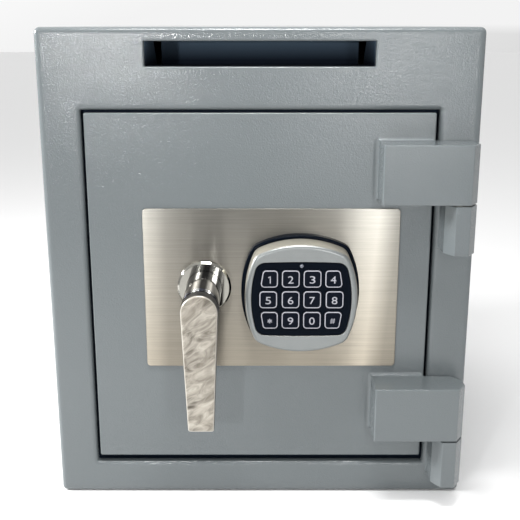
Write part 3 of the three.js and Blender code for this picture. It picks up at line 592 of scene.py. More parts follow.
def ringsOf(bm, stations, place):
    return [[bm.verts.new(place(u, v, depth)) for u, v in points] for points, depth in stations]


def loft(bm, rings, capped=False):
    for first, second in zip(rings, rings[1:]):
        for i in range(len(first)):
            bm.faces.new((first[i - 1], first[i], second[i], second[i - 1]))
    if capped:
        bm.faces.new(rings[0])
        bm.faces.new(rings[-1])


def ringed(name, stations, closed=False):
    # stations: an outline's points and their depth; the ends are capped, or joined if closed
    bm = bmesh.new()
    rings = ringsOf(bm, stations, facingFront)
    loft(bm, [*rings, rings[0]] if closed else rings, not closed)
    return addObject(name, bm)


def roundOver(outline, edge, face, away, inward=1, steps=4, roll=0):
    # stations of a rounded edge, from the face at that depth to the side; away is 1 or -1 along the depth;
    # with a roll it starts further in and turns slowly at first
    if not edge:
        return [(outline(0), face)]
    slow = slowTurn if roll else 0
    turns = [slow * k / 4 for k in range(4)] if roll else []
    turns += [slow + (math.pi / 2 - slow) * k / steps for k in range(steps + 1)]
    stations = []
    for t in turns:
        inset, drop = 1 - math.sin(t), 1 - math.cos(t)
        if roll:
            early = min(t, slow)
            inset += roll * (slow - early) ** 2 / (2 * slow)
            drop += roll * (early ** 2 / 2 - early ** 3 / (3 * slow))
        stations.append((outline(-inward * edge * inset), face + away * edge * drop))
    return stations


def roundedPlate(name, outer, holes, near, far, place=facingFront):
    # outer and each hole: an outline, the radius of its near edge and the radius of its far edge
    bm = bmesh.new()
    nearEdges, farEdges = [], []
    for number, (outline, nearEdge, farEdge, *roll) in enumerate([outer, *holes]):
        inward = -1 if number else 1
        stations = roundOver(outline, nearEdge, near, 1, inward, 6 if roll else 4, *roll)
        stations += reversed(roundOver(outline, farEdge, far, -1, inward))
        rings = ringsOf(bm, stations, place)
        loft(bm, rings)
        for ring, edges in ((rings[0], nearEdges), (rings[-1], farEdges)):
            edges += [bm.edges.get((ring[i - 1], ring[i])) for i in range(len(ring))]
    for edges in (nearEdges, farEdges):
        bmesh.ops.triangle_fill(bm, use_beauty=True, edges=edges)
    return addObject(name, bm)


def openBox(name, span, wall, bend, backEdge):
    # a box of sheet that is open to the front
    outer = sheetOutline(span, bend)
    inside = outer(-wall)
    stations = [(inside, span.back - wall), (inside, span.front), (outer(0), span.front)]
    stations += reversed(roundOver(outer, backEdge, span.back, -1))
    return ringed(name, stations)


def easedProfile(points, steps=3):
    # a point: radius, place along the axis, and, where the corner there is rounded, by how much
    path = []
    for i, (r, along, *own) in enumerate(points):
        here = Vector((r, along))
        if not own:
            path.append(here)
            continue
        back = (Vector(points[i - 1][:2]) - here).normalized()
        ahead = (Vector(points[i + 1][:2]) - here).normalized()
        reach = own[0] / math.tan(back.angle(ahead) / 2)
        start, end = here + back * reach, here + ahead * reach
        for k in range(steps + 1):
            share = k / steps
            path.append(start * (1 - share) ** 2 + here * 2 * share * (1 - share) + end * share ** 2)
    return path


def lathed(name, points, centre, axis, segments=96):
    # centre: where the axis crosses the plane of the other two directions
    def place(a, b, along):
        a, b = a + centre[0], b + centre[1]
        return Vector({"x": (along, a, b), "y": (a, along, b), "z": (a, b, along)}[axis]) * mm
    bm = bmesh.new()
    rings = []
    for r, along in easedProfile(points):
        if r == 0:
            rings.append([bm.verts.new(place(0, 0, along))] * segments)
            continue
        turns = [math.tau * k / segments for k in range(segments)]
        rings.append([bm.verts.new(place(r * math.cos(t), r * math.sin(t), along)) for t in turns])
    for first, second in zip(rings, rings[1:]):
        for i in range(segments):
            corners = list(dict.fromkeys((first[i - 1], first[i], second[i], second[i - 1])))
            if len(corners) > 2:
                bm.faces.new(corners)
    return addObject(name, bm)


def settle(made):
    # the modifiers become part of the mesh
    graph = bpy.context.evaluated_depsgraph_get()
    mesh = bpy.data.meshes.new_from_object(made.evaluated_get(graph))
    made.modifiers.clear()
    made.data = mesh


def cutBy(made, *cutters):
    for cutter in cutters:
        tool = made.modifiers.new("cut", "BOOLEAN")
        tool.operation = "DIFFERENCE"
        tool.solver = "EXACT"
        tool.object = cutter
    settle(made)
    for cutter in cutters:
        bpy.data.objects.remove(cutter)


def plug(centre, axis, radius, start, end, segments=48):
    return lathed("plug", [(0, start), (radius, start), (radius, end), (0, end)], centre, axis, segments)


def dress(made, body, slot, *nodes, finish=None, sharpFrom=38):
    for face in made.data.polygons:
        face.use_smooth = True
    made.data.set_sharp_from_angle(angle=math.radians(sharpFrom))
    weigh = made.modifiers.new("normals", "WEIGHTED_NORMAL")
    weigh.keep_sharp = True
    made.data.materials.clear()
    made.data.materials.append(finish or finishes[slot])
    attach(made, body)
    if nodes:
        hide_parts(*nodes)
    return made


# Cabinet: shell and front plate
cabinet = {
    "bend": 4.5,  # outer corners of the bent sheet
    "wall": 5,
    "backEdge": 2.5,
    "faceEdge": 4,
    "faceRoll": 5,  # the edge starts with an arc that is so many times as wide
    "doorwayEdge": 4,
    "slotEdge": 1.5,
    "corner": 0.8,  # of the two openings
    "anchor": 6.5,
    "anchorX": 105,
    "anchorY": 80,
    "slotHalf": 87.5,
    "slotBottom": 357,
    "slotTop": 375.7,
    "gapSide": 2.5,  # round the door
    "gapTop": 2,
    "gapBottom": 6,
}
doorSpan = spanOf("door_plate")


def buildShell():
    wall = cabinet["wall"]
    made = openBox("cabinet_shell", spanOf("body_shell"), wall, cabinet["bend"], cabinet["backEdge"])
    x, y = cabinet["anchorX"], cabinet["anchorY"]
    cutBy(made, *[
        plug(centre, "z", cabinet["anchor"], -past, wall + past)
        for centre in ((-x, -y), (x, -y), (-x, y), (x, y))
    ])
    dress(made, "cabinet", "enamel", "body_shell")


def buildFace():
    face = spanOf("front_frame")
    outer = sheetOutline(face, cabinet["bend"])
    doorway = rectangleOutline(
        doorSpan.left - cabinet["gapSide"], doorSpan.right + cabinet["gapSide"],
        doorSpan.bottom - cabinet["gapBottom"], doorSpan.top + cabinet["gapTop"], cabinet["corner"],
    )
    slotHalf = cabinet["slotHalf"]
    mouth = rectangleOutline(
        -slotHalf, slotHalf, cabinet["slotBottom"], cabinet["slotTop"], cabinet["corner"]
    )
    holes = [(doorway, cabinet["doorwayEdge"], 0), (mouth, cabinet["slotEdge"], 0)]
    edge = (outer, cabinet["faceEdge"], 0, cabinet["faceRoll"])
    made = roundedPlate("front_plate", edge, holes, face.front, face.back)
    dress(made, "cabinet", "enamel", "front_frame")


buildShell()
buildFace()
print("cabinet: shell and front plate")


# Door plate, with its holes for the spindle and the cable
door = {"edge": 1.2, "backEdge": 0.4, "corner": 1.6, "spindleHole": 6.3, "cableHole": 5}
handleX, handleZ = spanOf("handle_neck").midX, spanOf("handle_neck").midZ
keypadX, keypadZ = spanOf("keypad_housing").midX, spanOf("keypad_housing").midZ


def lockHoles():
    return [
        (circleOutline(handleX, handleZ, door["spindleHole"]), 0, 0),
        (circleOutline(keypadX, keypadZ, door["cableHole"]), 0, 0),
    ]


def buildDoor():
    outer = (sheetOutline(doorSpan, door["corner"]), door["edge"], door["backEdge"])
    made = roundedPlate("door_skin", outer, lockHoles(), doorSpan.front, doorSpan.back)
    dress(made, "door", "enamel", "door_plate")


buildDoor()
print("door: plate")


# Hinges: a block on the door and a knuckle on the front plate, and the painted welds that run round them
hinge = {
    "edge": 0.9,
    "corner": 1.2,
    "bend": 0.8,  # radius of the other corners, but those at the plate behind are sharp
    "sharp": 0.1,
    "seatEdge": 0.4,
    "nose": 5.5,
    "chamfer": 10,
    "heel": 4,
    "frameGap": 1.5,
    "overDoorEdge": 0.5,
    "bore": 6.3,
    "boreEnd": 1,
    "pinGap": 0.3,
}
weld = {
    "block": 2.6,
    "knuckle": 1.8,
    "wander": 0.5,  # how uneven it is, and how often that changes
    "wave": 0.31,
    "sunk": 0.3,  # how far it reaches into the pieces that it joins
    "step": 1.5,
    "short": 1.5,  # where it ends before the door's edge
    "knuckleShort": 1,
}


def weldStrip(name, body, stops, leg, base):
    # a hollow fillet along a path; a stop is x, z and the way it faces there, from start to end, in degrees
    stations = []
    for (x, z, start, end), after in zip(stops, [*stops[1:], None]):
        for k in range(5 if end > start else 1):
            stations.append((x, z, start + (end - start) * k / 4))
        if after:
            runs = int(math.hypot(after[0] - x, after[1] - z) / weld["step"])
            for k in range(1, runs):
                share = k / runs
                stations.append((x + (after[0] - x) * share, z + (after[1] - z) * share, end))
    bm = bmesh.new()
    rings = []
    wave, sunk = weld["wave"], weld["sunk"]
    for x, z, turn in stations:
        reach = leg + weld["wander"] * noise.noise(Vector((x * wave, z * wave, leg)))
        section = [(-sunk, base + sunk), (reach, base + sunk)]
        for k in range(6):
            t = math.pi / 2 * k / 5
            section.append((reach * (1 - math.sin(t)), base - reach * (1 - math.cos(t))))
        section.append((-sunk, base - reach))
        acrossX, acrossZ = math.cos(math.radians(turn)), math.sin(math.radians(turn))
        rings.append([bm.verts.new(Vector((x + acrossX * g, y, z + acrossZ * g)) * mm) for g, y in section])
    loft(bm, rings, capped=True)
    dress(addObject(name, bm), body, "enamel")


def buildBlock(side):
    block, knuckle, pin = (spanOf(side + end) for end in ("_hinge_block", "_hinge_knuckle", "_hinge_pin"))
    axis = (knuckle.midX, knuckle.midY)
    heelY = block.back - hinge["frameGap"]
    seatX = doorSpan.right + hinge["overDoorEdge"]
    section = polygonOutline([
        (block.left, block.front, hinge["corner"]),
        (axis[0] + hinge["nose"], block.front),
        (block.right, block.front + hinge["chamfer"]),
        (block.right, block.back - hinge["chamfer"]),
        (axis[0] + hinge["heel"], heelY),
        (seatX, heelY),
        (seatX, block.back, hinge["sharp"]),
        (block.left, block.back, hinge["sharp"]),
    ], hinge["bend"])
    edge = hinge["edge"]
    made = roundedPlate(
        side + "_block_painted", (section, edge, edge), [], block.bottom, block.top, seenFromAbove
    )
    cutBy(made, plug(axis, "z", hinge["bore"], block.bottom - past, pin.top + hinge["boreEnd"]))
    dress(made, "door", "enamel", side + "_hinge_block")
    weldEnd = doorSpan.right - weld["short"]
    weldStrip(side + "_block_weld", "door", [
        (weldEnd, block.top, 90, 90),
        (block.left, block.top, 90, 180),
        (block.left, block.bottom, 180, 270),
        (weldEnd, block.bottom, 270, 270),
    ], weld["block"], block.back)


def buildKnuckle(side):
    knuckle, pin = spanOf(side + "_hinge_knuckle"), spanOf(side + "_hinge_pin")
    middle = (knuckle.midX, knuckle.midY)
    section = polygonOutline([
        (middle[0] - hinge["nose"], knuckle.front),
        (middle[0] + hinge["nose"], knuckle.front),
        (knuckle.right, knuckle.front + hinge["chamfer"]),
        (knuckle.right, knuckle.back, hinge["sharp"]),
        (knuckle.left, knuckle.back, hinge["sharp"]),
        (knuckle.left, knuckle.front + hinge["chamfer"]),
    ], hinge["bend"])
    made = roundedPlate(
        side + "_knuckle_painted", (section, hinge["edge"], hinge["seatEdge"]), [],
        knuckle.bottom, knuckle.top, seenFromAbove,
    )
    cutBy(made, plug(middle, "z", hinge["bore"], pin.bottom - hinge["pinGap"], knuckle.top + past))
    dress(made, "cabinet", "enamel", side + "_hinge_knuckle")
    weldStrip(side + "_knuckle_weld", "cabinet", [
        (knuckle.left, knuckle.top - weld["knuckleShort"], 180, 180),
        (knuckle.left, knuckle.bottom, 180, 270),
        (knuckle.right - weld["knuckleShort"], knuckle.bottom, 270, 270),
    ], weld["knuckle"], knuckle.back)


for side in ("upper", "lower"):
    buildBlock(side)
    buildKnuckle(side)
print("hinges: blocks, knuckles and welds")


# Brushed plate
plate = {"corner": 3, "edge": 0.35}


def buildPlate():
    span = spanOf("escutcheon_plate")
    outer = (sheetOutline(span, plate["corner"], 8), plate["edge"], 0)
    made = roundedPlate("brushed_escutcheon", outer, lockHoles(), span.front, span.back)
    dress(made, "door", "brushed_plate", "escutcheon_plate")


buildPlate()
print("brushed plate: made")


# Handle: the rosette stays on the door, and the neck and the lever turn
rosette = {
    "rim": 3.5,
    "rimWide": 1.6,
    "rimEase": 0.3,  # an ease is the rounding of a turned corner
    "neckGap": 0.3,
    "segments": 128,
}


def buildRosette():
    span = spanOf("handle_rose")
    outer = span.width / 2
    inner = spanOf("handle_neck").width / 2 + rosette["neckGap"]
    rimY = span.back - rosette["rim"]
    profile = [
        (inner, span.front),
        (outer - rosette["rimWide"], span.front, rosette["rimEase"]),
        (outer, rimY, rosette["rimEase"]),
        (outer, span.back),
        (inner, span.back),
        (inner, span.front),
    ]
    made = lathed("chrome_rosette", profile, (handleX, handleZ), "y", rosette["segments"])
    dress(made, "door", "bright_chrome", "handle_rose")


neck = {
    "ring": 2.5,
    "ringEase": 0.35,
    "groove": 1.5,
    "grooveDepth": 1,
    "collarEase": 0.5,
    "footEase": 0.4,
    "socket": 18.3,
    "bore": 6.3,
    "segments": 128,
}


def buildNeck():
    span = spanOf("handle_neck")
    r = span.width / 2
    waist = r - neck["grooveDepth"]
    groove = neck["groove"]
    ring = span.front + groove + neck["ring"]
    socket = span.back - neck["socket"]
    profile = [
        (0, span.front),
        (waist, span.front),
        (waist, span.front + groove),
        (r, span.front + groove, neck["ringEase"]),
        (r, ring, neck["ringEase"]),
        (waist, ring),
        (waist, ring + groove),
        (r, ring + groove, neck["collarEase"]),
        (r, span.back, neck["footEase"]),
        (neck["bore"], span.back),
        (neck["bore"], socket),
        (0, socket),
    ]
    made = lathed("chrome_neck", profile, (handleX, handleZ), "y", neck["segments"])
    dress(made, "handle", "bright_chrome", "handle_neck", finish=neckPaintedReflectionChrome)


lever = {
    "head": 13.8,
    "tip": 9.8,
    "length": 95,
    "corner": 2.5,
    "edge": 1.8,
    "backEdge": 0.8,
    "thin": 8.5,
    "tipFace": 4,
    "tipDrop": 2.2,
    "tipCurve": 1.4,
    "ripple": 0.22,
    "rippleSize": 15,
    "rippleMean": 0.75,
    "rippleSwing": 0.5,
    "seeds": (3.7, 9),
    "rim": 3,  # flat strip along the edges, free of ripples
    "faceRings": (0, 0.12, 0.24, 0.36, 0.48, 0.6, 0.7, 0.78, 0.86, 0.93, 1),  # from the middle outward
    "backRings": (0.6, 0.3, 0),
}


def leverOutline():
    head, tip, length, corner = (lever[key] for key in ("head", "tip", "length", "corner"))
    lean = math.asin((head - tip) / length)
    cornerZ = corner - length
    cornerX = (head - corner + cornerZ * math.sin(lean)) / math.cos(lean)
    lean = math.degrees(lean)
    return arcsOutline([
        (0, 0, head, -lean, 180 + lean, 48, 40),
        (-cornerX, cornerZ, corner, 180 + lean, 270, 6, 8),
        (cornerX, cornerZ, corner, 270, 360 - lean, 6, 40),
    ])


def leverPoint(u, v, behind, share):
    # behind: how far the point lies behind the face, or in front of the back if share is 1
    span = spanOf("lever_grip")
    fromTip = lever["length"] + v
    drop = lever["tipDrop"] * max(0, 1 - fromTip / lever["tipFace"]) ** lever["tipCurve"]
    down = max(0, -v - lever["head"]) / (lever["length"] - lever["head"])
    face = span.front + drop
    back = span.back - (span.depth - lever["thin"]) * down
    return Vector((handleX + u, back - behind if share else face + behind, handleZ + v)) * mm


def leverRipple(u, v, inset):
    # the cast face is gently rippled inside a flat rim: a wave, and half as much of one half as long
    size, (first, second) = lever["rippleSize"], lever["seeds"]
    wave = noise.noise(Vector((u / size, v / size, first)))
    wave += 0.5 * noise.noise(Vector((u, v, second)) * 2 / size)
    high = lever["rippleMean"] + lever["rippleSwing"] * wave
    return lever["ripple"] * high * min(1, inset / lever["rim"])


def buildLever():
    outline = leverOutline()
    full = outline(0)
    spine = [(0, min(0, max(v, lever["head"] / 2 - lever["length"]))) for _, v in full]

    def drawnIn(points, share):
        return [(m + (u - m) * share, n + (v - n) * share) for (u, v), (m, n) in zip(points, spine)]

    bm = bmesh.new()
    rings = []
    face = outline(-lever["edge"])
    for share in lever["faceRings"]:
        ring = []
        for (u, v), (edgeU, edgeV) in zip(drawnIn(face, share), face):
            inset = math.hypot(u - edgeU, v - edgeV)
            ring.append(bm.verts.new(leverPoint(u, v, leverRipple(u, v, inset), 0)))
        rings.append(ring)
    for points, behind in roundOver(outline, lever["edge"], 0, 1, steps=6)[1:]:
        rings.append([bm.verts.new(leverPoint(u, v, behind, 0)) for u, v in points])
    for points, behind in reversed(roundOver(outline, lever["backEdge"], 0, 1)):
        rings.append([bm.verts.new(leverPoint(u, v, behind, 1)) for u, v in points])
    for share in lever["backRings"]:
        points = drawnIn(outline(-lever["backEdge"]), share)
        rings.append([bm.verts.new(leverPoint(u, v, 0, 1)) for u, v in points])
    loft(bm, rings)
    dress(addObject("rippled_lever", bm), "handle", "lever_metal", "lever_grip")


buildRosette()
buildNeck()
buildLever()
print("handle: rosette, neck and lever")


# Keypad: base, housing, fascia, keys and lens
keypad = {"bulge": 79, "corner": 11}  # the outline that its base and its housing share
keypadBase = {"edge": 1.5, "backEdge": 0.3, "cable": 5, "batteryGap": 0.4}


def keypadOutline(width, height, draw=0):
    bulge, corner = keypad["bulge"] - draw, keypad["corner"] - draw
    return cushionOutline(keypadX, keypadZ, width - 2 * draw, height - 2 * draw, bulge, bulge, corner)


def buildBase():
    span, cell = spanOf("keypad_base"), spanOf("battery")
    outer = (keypadOutline(span.width, span.height), keypadBase["edge"], keypadBase["backEdge"])
    made = roundedPlate("keypad_back_plate", outer, [], span.front, span.back)
    slack = keypadBase["batteryGap"]
    pocket = rectangleOutline(
        cell.left - slack, cell.right + slack, cell.bottom - slack, cell.top + slack
    )
    cutBy(
        made,
        ringed("pocket", [(pocket(0), span.front - past), (pocket(0), cell.back + slack)]),
        plug((keypadX, keypadZ), "y", keypadBase["cable"], span.front - past, span.back + past),
    )
    dress(made, "door", "keypad_black", "keypad_base")


fascia = {"bulge": 88, "endBulge": 700, "corner": 8, "edge": 0.25, "holeEdge": 0.15, "lensBore": 1.8}
housing = {"edge": 3.2, "wall": 2.5, "windowGap": 0.3, "windowEdge": 0.4}


def fasciaOutline(grow=0):
    span = spanOf("keypad_fascia")
    bulges = (fascia["bulge"], fascia["endBulge"])
    outline = cushionOutline(keypadX, keypadZ, span.width, span.height, *bulges, fascia["corner"])
    return lambda more=0: outline(grow + more)


def buildHousing():
    span, ledge = spanOf("keypad_housing"), spanOf("keypad_fascia").back
    outer = keypadOutline(span.width, span.height)
    inner = keypadOutline(span.width, span.height, housing["wall"])
    window = fasciaOutline(housing["windowGap"])
    stations = roundOver(outer, housing["edge"], span.front, 1, steps=6)
    stations += [(outer(0), span.back), (inner(0), span.back), (inner(0), ledge), (window(0), ledge)]
    stations += reversed(roundOver(window, housing["windowEdge"], span.front, 1, -1))
    dress(ringed("silver_housing", stations, closed=True), "door", "keypad_silver", "keypad_housing")


keyCap = {
    "size": 14,
    "corner": 3,
    "pitch": 16.7,
    "slant": 2.3,
    "sideShift": 0.6,
    "edge": 0.6,
    "gap": 0.35,
    "flange": 0.9,
    "flangeThick": 1,
    "bandInner": 0.95,  # inner side of the printed band, inward from the key's side
    "bandSunk": (0.3, 0.5),  # how deep the band is at its inner and its outer side
    "print": 0.05,
    "printDeep": 0.15,
    "digitHigh": 5.9,
    "digitWide": 4.3,
    "digitLow": 0.6,
    "stroke": 0.75,
    "strokeCorner": 0.15,
}
strokes = {  # marks drawn in bars, each from one point to another
    "1": [(0.35, -2.9, 0.35, 2.9), (0.35, 2.55, -1.2, 1.6)],
    "*": [(0, -1.8, 0, 1.8), (-1.6, -0.9, 1.6, 0.9), (-1.6, 0.9, 1.6, -0.9)],
    "#": [(-1.3, -2, -0.5, 2), (0.5, -2, 1.3, 2), (-1.8, -0.7, 1.7, -0.7), (-1.7, 0.7, 1.8, 0.7)],
}
keyRows = [
    [("key_1", "1"), ("key_2", "2"), ("key_3", "3"), ("key_4", "4")],
    [("key_5", "5"), ("key_6", "6"), ("key_7", "7"), ("key_8", "8")],
    [("key_star", "*"), ("key_9", "9"), ("key_0", "0"), ("key_hash", "#")],
]


def keyOutline(row, column, grow=0):
    h = keyCap["size"] / 2
    lastRow, lastColumn = len(keyRows) - 1, len(keyRows[row]) - 1
    outward = (column == lastColumn) - (column == 0)
    shift = outward * keyCap["sideShift"] if 0 < row < lastRow else 0
    x = keypadX + (column - lastColumn / 2) * keyCap["pitch"] + shift
    z = keypadZ + (lastRow / 2 - row) * keyCap["pitch"]
    leanLow = keyCap["slant"] if row == lastRow else 0
    leanHigh = keyCap["slant"] if row == 0 else 0
    left = outward < 0
    right = outward > 0
    outline = polygonOutline([
        (x - h + left * leanLow, z - h),
        (x + h - right * leanLow, z - h),
        (x + h - right * leanHigh, z + h),
        (x - h + left * leanHigh, z + h),
    ], keyCap["corner"], 6)
    return lambda more=0: outline(grow + more)


def buildFascia():
    span, light = spanOf("keypad_fascia"), spanOf("status_lens")
    holes = [
        (keyOutline(row, column, keyCap["gap"]), fascia["holeEdge"], 0)
        for row, names in enumerate(keyRows) for column in range(len(names))
    ]
    bore = circleOutline(light.midX, light.midZ, fascia["lensBore"], 24)
    holes.append((bore, fascia["holeEdge"], 0))
    outer = (fasciaOutline(), fascia["edge"], 0)
    made = roundedPlate("black_fascia", outer, holes, span.front, span.back)
    dress(made, "door", "keypad_black", "keypad_fascia")


def buildKey(row, column):
    node, mark = keyRows[row][column]
    span = spanOf(node)
    outline = keyOutline(row, column)
    flange = keyOutline(row, column, keyCap["flange"])
    flangeFront = span.back - keyCap["flangeThick"]
    stations = roundOver(outline, keyCap["edge"], span.front, 1)
    stations += [(outline(0), flangeFront), (flange(0), flangeFront), (flange(0), span.back)]
    dress(ringed(node + "_cap", stations), node + "_body", "key_black", node)
    top = span.front - keyCap["print"]
    band = list(reversed(roundOver(outline, keyCap["edge"], top, 1)[:3]))
    inner = outline(-keyCap["bandInner"])
    sunkInner, sunkOuter = (span.front + sunk for sunk in keyCap["bandSunk"])
    band += [(inner, top), (inner, sunkInner), (band[0][0], sunkOuter)]
    dress(ringed(node + "_band", band, closed=True), node + "_body", None, finish=keyPrint)
    x = sum(u for u, _ in outline(0)) / len(outline(0))
    z = keypadZ + (1 - row) * keyCap["pitch"] - keyCap["digitLow"]
    if mark in strokes:
        for number, stroke in enumerate(strokes[mark]):
            printBar(f"{node}_mark_{number}", node, stroke, x, z, top)
    else:
        printDigit(node, mark, x, z, top)


def printBar(name, node, stroke, x, z, top):
    start, end = Vector(stroke[:2]), Vector(stroke[2:])
    along = (end - start).normalized()
    side = Vector((-along.y, along.x)) * keyCap["stroke"] / 2
    around = (start - side, end - side, end + side, start + side)
    corners = [tuple(corner + Vector((x, z))) for corner in around]
    outline = polygonOutline(corners, keyCap["strokeCorner"], 2)
    made = ringed(name, [(outline(0), top), (outline(0), top + keyCap["printDeep"])])
    dress(made, node + "_body", None, finish=keyPrint)


def printDigit(node, mark, x, z, top):
    # the text's own size doesn't matter: each digit is fitted to its height and width
    text = bpy.data.curves.new(node + "_mark", "FONT")
    text.body = mark
    text.size = 10
    text.extrude = 1
    drawn = bpy.data.objects.new(node + "_text", text)
    bpy.context.scene.collection.objects.link(drawn)
    graph = bpy.context.evaluated_depsgraph_get()
    bm = bmesh.new()
    bm.from_mesh(bpy.data.meshes.new_from_object(drawn.evaluated_get(graph)))
    bpy.data.objects.remove(drawn)
    low = [min(v.co[i] for v in bm.verts) for i in range(2)]
    high = [max(v.co[i] for v in bm.verts) for i in range(2)]
    wide = keyCap["digitWide"] / (high[0] - low[0])
    tall = keyCap["digitHigh"] / (high[1] - low[1])
    for v in bm.verts:
        across = (v.co.x - (low[0] + high[0]) / 2) * wide
        up = (v.co.y - (low[1] + high[1]) / 2) * tall
        depth = top if v.co.z > 0 else top + keyCap["printDeep"]
        v.co = Vector((x + across, depth, z + up)) * mm
    dress(addObject(node + "_mark", bm), node + "_body", None, finish=keyPrint)


lens = {"dome": ((0.55, 0.04), (0.85, 0.16), (1, 0.45))}  # share of the radius, and how far it falls


def buildLens():
    span = spanOf("status_lens")
    r = span.width / 2
    dome = [(r * share, span.front + fall) for share, fall in lens["dome"]]
    profile = [(0, span.front), *dome, (r, span.back), (0, span.back)]
    made = lathed("status_light", profile, (span.midX, span.midZ), "y", 48)
    dress(made, "door", "lens_grey", "status_lens", sharpFrom=60)


buildBase()
buildHousing()
buildFascia()
for row, names in enumerate(keyRows):
    for column in range(len(names)):
        buildKey(row, column)
buildLens()
print("keypad: base, housing, fascia, keys and lens")


# Behind the door: cover and its screws, dog bar and bolts
cover = {"sheet": 2, "bend": 2, "boltHole": 10.6, "studHole": 2.5}
studNames = ["cover_stud_" + end for end in ("upper_left", "lower_left", "upper_right", "lower_right")]
boltNames = ["locking_bolt_" + end for end in ("upper", "middle", "lower")]


def buildCover():
    span = spanOf("bolt_cover")
    made = openBox("boltwork_cover", span, cover["sheet"], cover["bend"], cover["bend"])
    ways = []
    for way in map(spanOf, boltNames):
        centre = (way.midY, way.midZ)
        ways.append(plug(centre, "x", cover["boltHole"], span.left - past, span.left + past))
    for way in map(spanOf, studNames):
        centre = (way.midX, way.midZ)
        ways.append(plug(centre, "y", cover["studHole"], span.back - past, span.back + past))
    cutBy(made, *ways)
    dress(made, "door", "enamel", "bolt_cover")


stud = {
    "shank": 2.2,
    "headHigh": 2.5,
    "dome": ((1, 1.6), (0.86, 0.75), (0.5, 0.2)),  # share of the radius, and how far below the top
    "crossWide": 1.1,
    "crossDeep": 1.3,
    "crossReach": 0.62,  # share of the head's radius
    "crossCorner": 0.1,
}


def buildStud(node):
    span = spanOf(node)
    head = span.width / 2
    seat = span.back - stud["headHigh"]
    dome = [(head * share, span.back - fall) for share, fall in stud["dome"]]
    profile = [(0, span.front), (stud["shank"], span.front), (stud["shank"], seat), (head, seat)]
    made = lathed(node + "_screw", [*profile, *dome, (0, span.back)], (span.midX, span.midZ), "y", 40)
    wide, reach = stud["crossWide"] / 2, head * stud["crossReach"]
    cutters = []
    for a, b in ((wide, reach), (reach, wide)):
        sides = (span.midX - a, span.midX + a, span.midZ - b, span.midZ + b)
        points = rectangleOutline(*sides, stud["crossCorner"], 1)(0)
        ends = (span.back - stud["crossDeep"], span.back + past)
        cutters.append(ringed("cross", [(points, end) for end in ends]))
    cutBy(made, *cutters)
    dress(made, "door", "plated_steel", node)


bolt = {
    "nose": 2.5,
    "eases": (0.5, 1.2, 0.3),  # rounding at the tip, behind the nose and at the carrier
    "spigot": 6,
}


def buildBolt(node):
    span = spanOf(node)
    r = span.height / 2
    nose = bolt["nose"]
    shoulder = spanOf("bolt_carrier").left
    tip, behind, foot = bolt["eases"]
    profile = [
        (0, span.left),
        (r - nose, span.left, tip),
        (r, span.left + nose, behind),
        (r, shoulder, foot),
        (bolt["spigot"], shoulder),
        (bolt["spigot"], span.right),
        (0, span.right),
    ]
    made = lathed(node + "_round", profile, (span.midY, span.midZ), "x")
    dress(made, "boltwork", "plated_steel", node)


dog = {"riser": 6, "thick": 8, "edge": 0.8, "corner": 1, "sharp": 0.2}


def buildDog():
    span = spanOf("hinge_side_dog")
    riser = span.left + dog["riser"]
    arm = span.back - dog["thick"]
    section = polygonOutline([
        (span.left, span.front, dog["sharp"]),
        (riser, span.front, dog["sharp"]),
        (riser, arm),
        (span.right, arm),
        (span.right, span.back),
        (span.left, span.back),
    ], dog["corner"])
    edge = dog["edge"]
    made = roundedPlate("dog_bar", (section, edge, edge), [], span.bottom, span.top, seenFromAbove)
    dress(made, "door", "plated_steel", "hinge_side_dog")


buildCover()
for node in studNames:
    buildStud(node)
for node in boltNames:
    buildBolt(node)
buildDog()
print("boltwork: cover, screws, bolts and dog bar")


# The frame's own solids that stay: each gets its finish, and the plain ones softer edges
ownFinish = {
    # the door stop frame gets the dark chute paint as painted shade in the door gap
    "door_stop_frame": chutePaintedShade,
    "deposit_chute": chutePaintedShade,
    "anti_fish_baffle": chutePaintedShade,
}
carriedOver = {
    "enamel": ["door_stop_frame", "deposit_chute"],
    "hard_steel": ["hard_plate"],
    "board_green": ["keypad_board"],
    "cell_jacket": ["battery"],
    "plated_steel": [
        "anti_fish_baffle", "upper_hinge_pin", "upper_hinge_washer", "lower_hinge_pin",
        "lower_hinge_washer", "carrier_guide_upper", "carrier_guide_lower", "lock_case",
        "lock_screw_upper", "lock_screw_lower", "lock_bolt", "handle_spindle", "spindle_clip",
        "drive_cam", "cam_pin", "bolt_carrier", "drive_plate",
    ],
}
eased = {"door_stop_frame": 0.8, "lock_bolt": 0.4, "bolt_carrier": 0.5, "deposit_chute": 0.3}
mergeWithin = 2e-6  # metres


def finishFrame():
    for slot, nodes in carriedOver.items():
        for node in nodes:
            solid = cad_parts[node]
            solid.data.materials.clear()
            solid.data.materials.append(ownFinish.get(node, finishes[slot]))
            if node in eased:
                merge = solid.modifiers.new("merge", "WELD")
                merge.merge_threshold = mergeWithin
                ease = solid.modifiers.new("ease", "BEVEL")
                ease.width = eased[node] * mm
                ease.segments = 2
                ease.limit_method = "ANGLE"


finishFrame()
print("frame: finishes on the solids that stay")


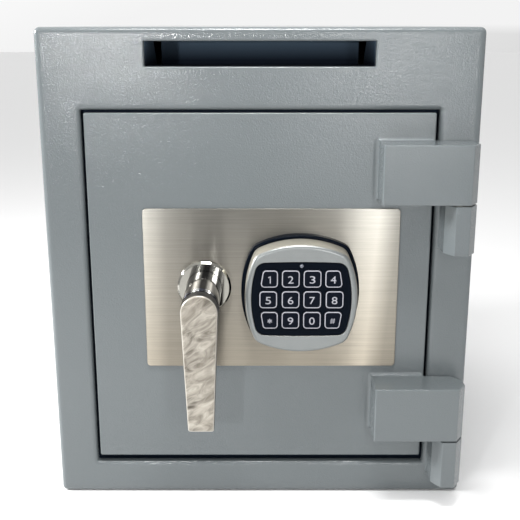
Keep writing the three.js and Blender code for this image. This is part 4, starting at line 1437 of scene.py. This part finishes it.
# Floor and light
studio = {
    "floor": 24000,
    "floorBelow": 0.2,
    "floorColour": (0.72, 0.72, 0.72),
    "floorSpots": (400,),
    "spotShade": 0.99,
    "floorRoughness": 0.7,
    "bright": (-0.35, 0.45, 0.85),  # the sky is brightest towards here, and darkest the other way
    "sky": ((0.25, 0.02), (0.7, 0.58), (1.0, 1.0)),
    "skyStrength": 1.38,
    "horizon": ((0.47, 0.0), (0.5, 0.65), (0.56, 0.65), (0.64, 0.0)),  # a pale band all round, low down
}
lamps = {
    "top": {"place": (0, -430, 1050), "aim": (0, -170, 300), "size": (420, 110), "power": 8.5},
    "side": {"place": (-1000, -200, 600), "aim": (0, -170, 330), "size": (250, 250), "power": 22},
    "left": {"place": (-265, -1045, 400), "aim": (-50, -170, 330), "size": (28, 28), "power": 2.4},
    "right": {"place": (215, -1045, 400), "aim": (50, -170, 300), "size": (40, 400), "power": 1.9},
}


def floorFinish():
    f = Finish("pale_floor")
    colour = studio["floorColour"]
    spot = [part * studio["spotShade"] for part in colour]
    mottled = f.mix(f.noise(*studio["floorSpots"]), spot, colour)
    return f.shade(Base_Color=mottled, Roughness=studio["floorRoughness"])


def buildSky():
    world = bpy.data.worlds.new("studio")
    f = Finish("studio", world)
    toward = f.add("ShaderNodeTexCoord", output="Generated")
    sockets = [toward, studio["bright"]]
    height = f.add("ShaderNodeVectorMath", {"operation": "DOT_PRODUCT"}, sockets, "Value")
    dome = f.ramp(height * 0.5 + 0.5, *studio["sky"])
    up = f.add("ShaderNodeSeparateXYZ", {}, [toward], "Z")
    band = f.ramp(up * 0.5 + 0.5, *studio["horizon"])
    tone = f.add("ShaderNodeMath", {"operation": "MAXIMUM"}, [dome, band])
    sky = f.add("ShaderNodeBackground", {}, [tone, studio["skyStrength"]])
    f.add("ShaderNodeOutputWorld", {}, [sky])
    bpy.context.scene.world = world


def buildStudio():
    half = studio["floor"] / 2
    bm = bmesh.new()
    corners = ((-half, -half), (half, -half), (half, half), (-half, half))
    bm.faces.new([bm.verts.new(Vector((x, y, -studio["floorBelow"])) * mm) for x, y in corners])
    floor = addObject("floor", bm)
    floor.data.materials.append(floorFinish())

    for name, lamp in lamps.items():
        data = bpy.data.lights.new(name, "AREA")
        data.shape = "RECTANGLE"
        data.size, data.size_y = (side * mm for side in lamp["size"])
        data.energy = lamp["power"]
        holder = bpy.data.objects.new(name, data)
        holder.location = Vector(lamp["place"]) * mm
        aim = Vector(lamp["aim"]) - Vector(lamp["place"])
        holder.rotation_euler = aim.to_track_quat("-Z", "Y").to_euler()
        holder.visible_camera = False
        bpy.context.scene.collection.objects.link(holder)
    bpy.context.scene.view_settings.view_transform = "Standard"


buildSky()
buildStudio()
print("studio: floor and light")
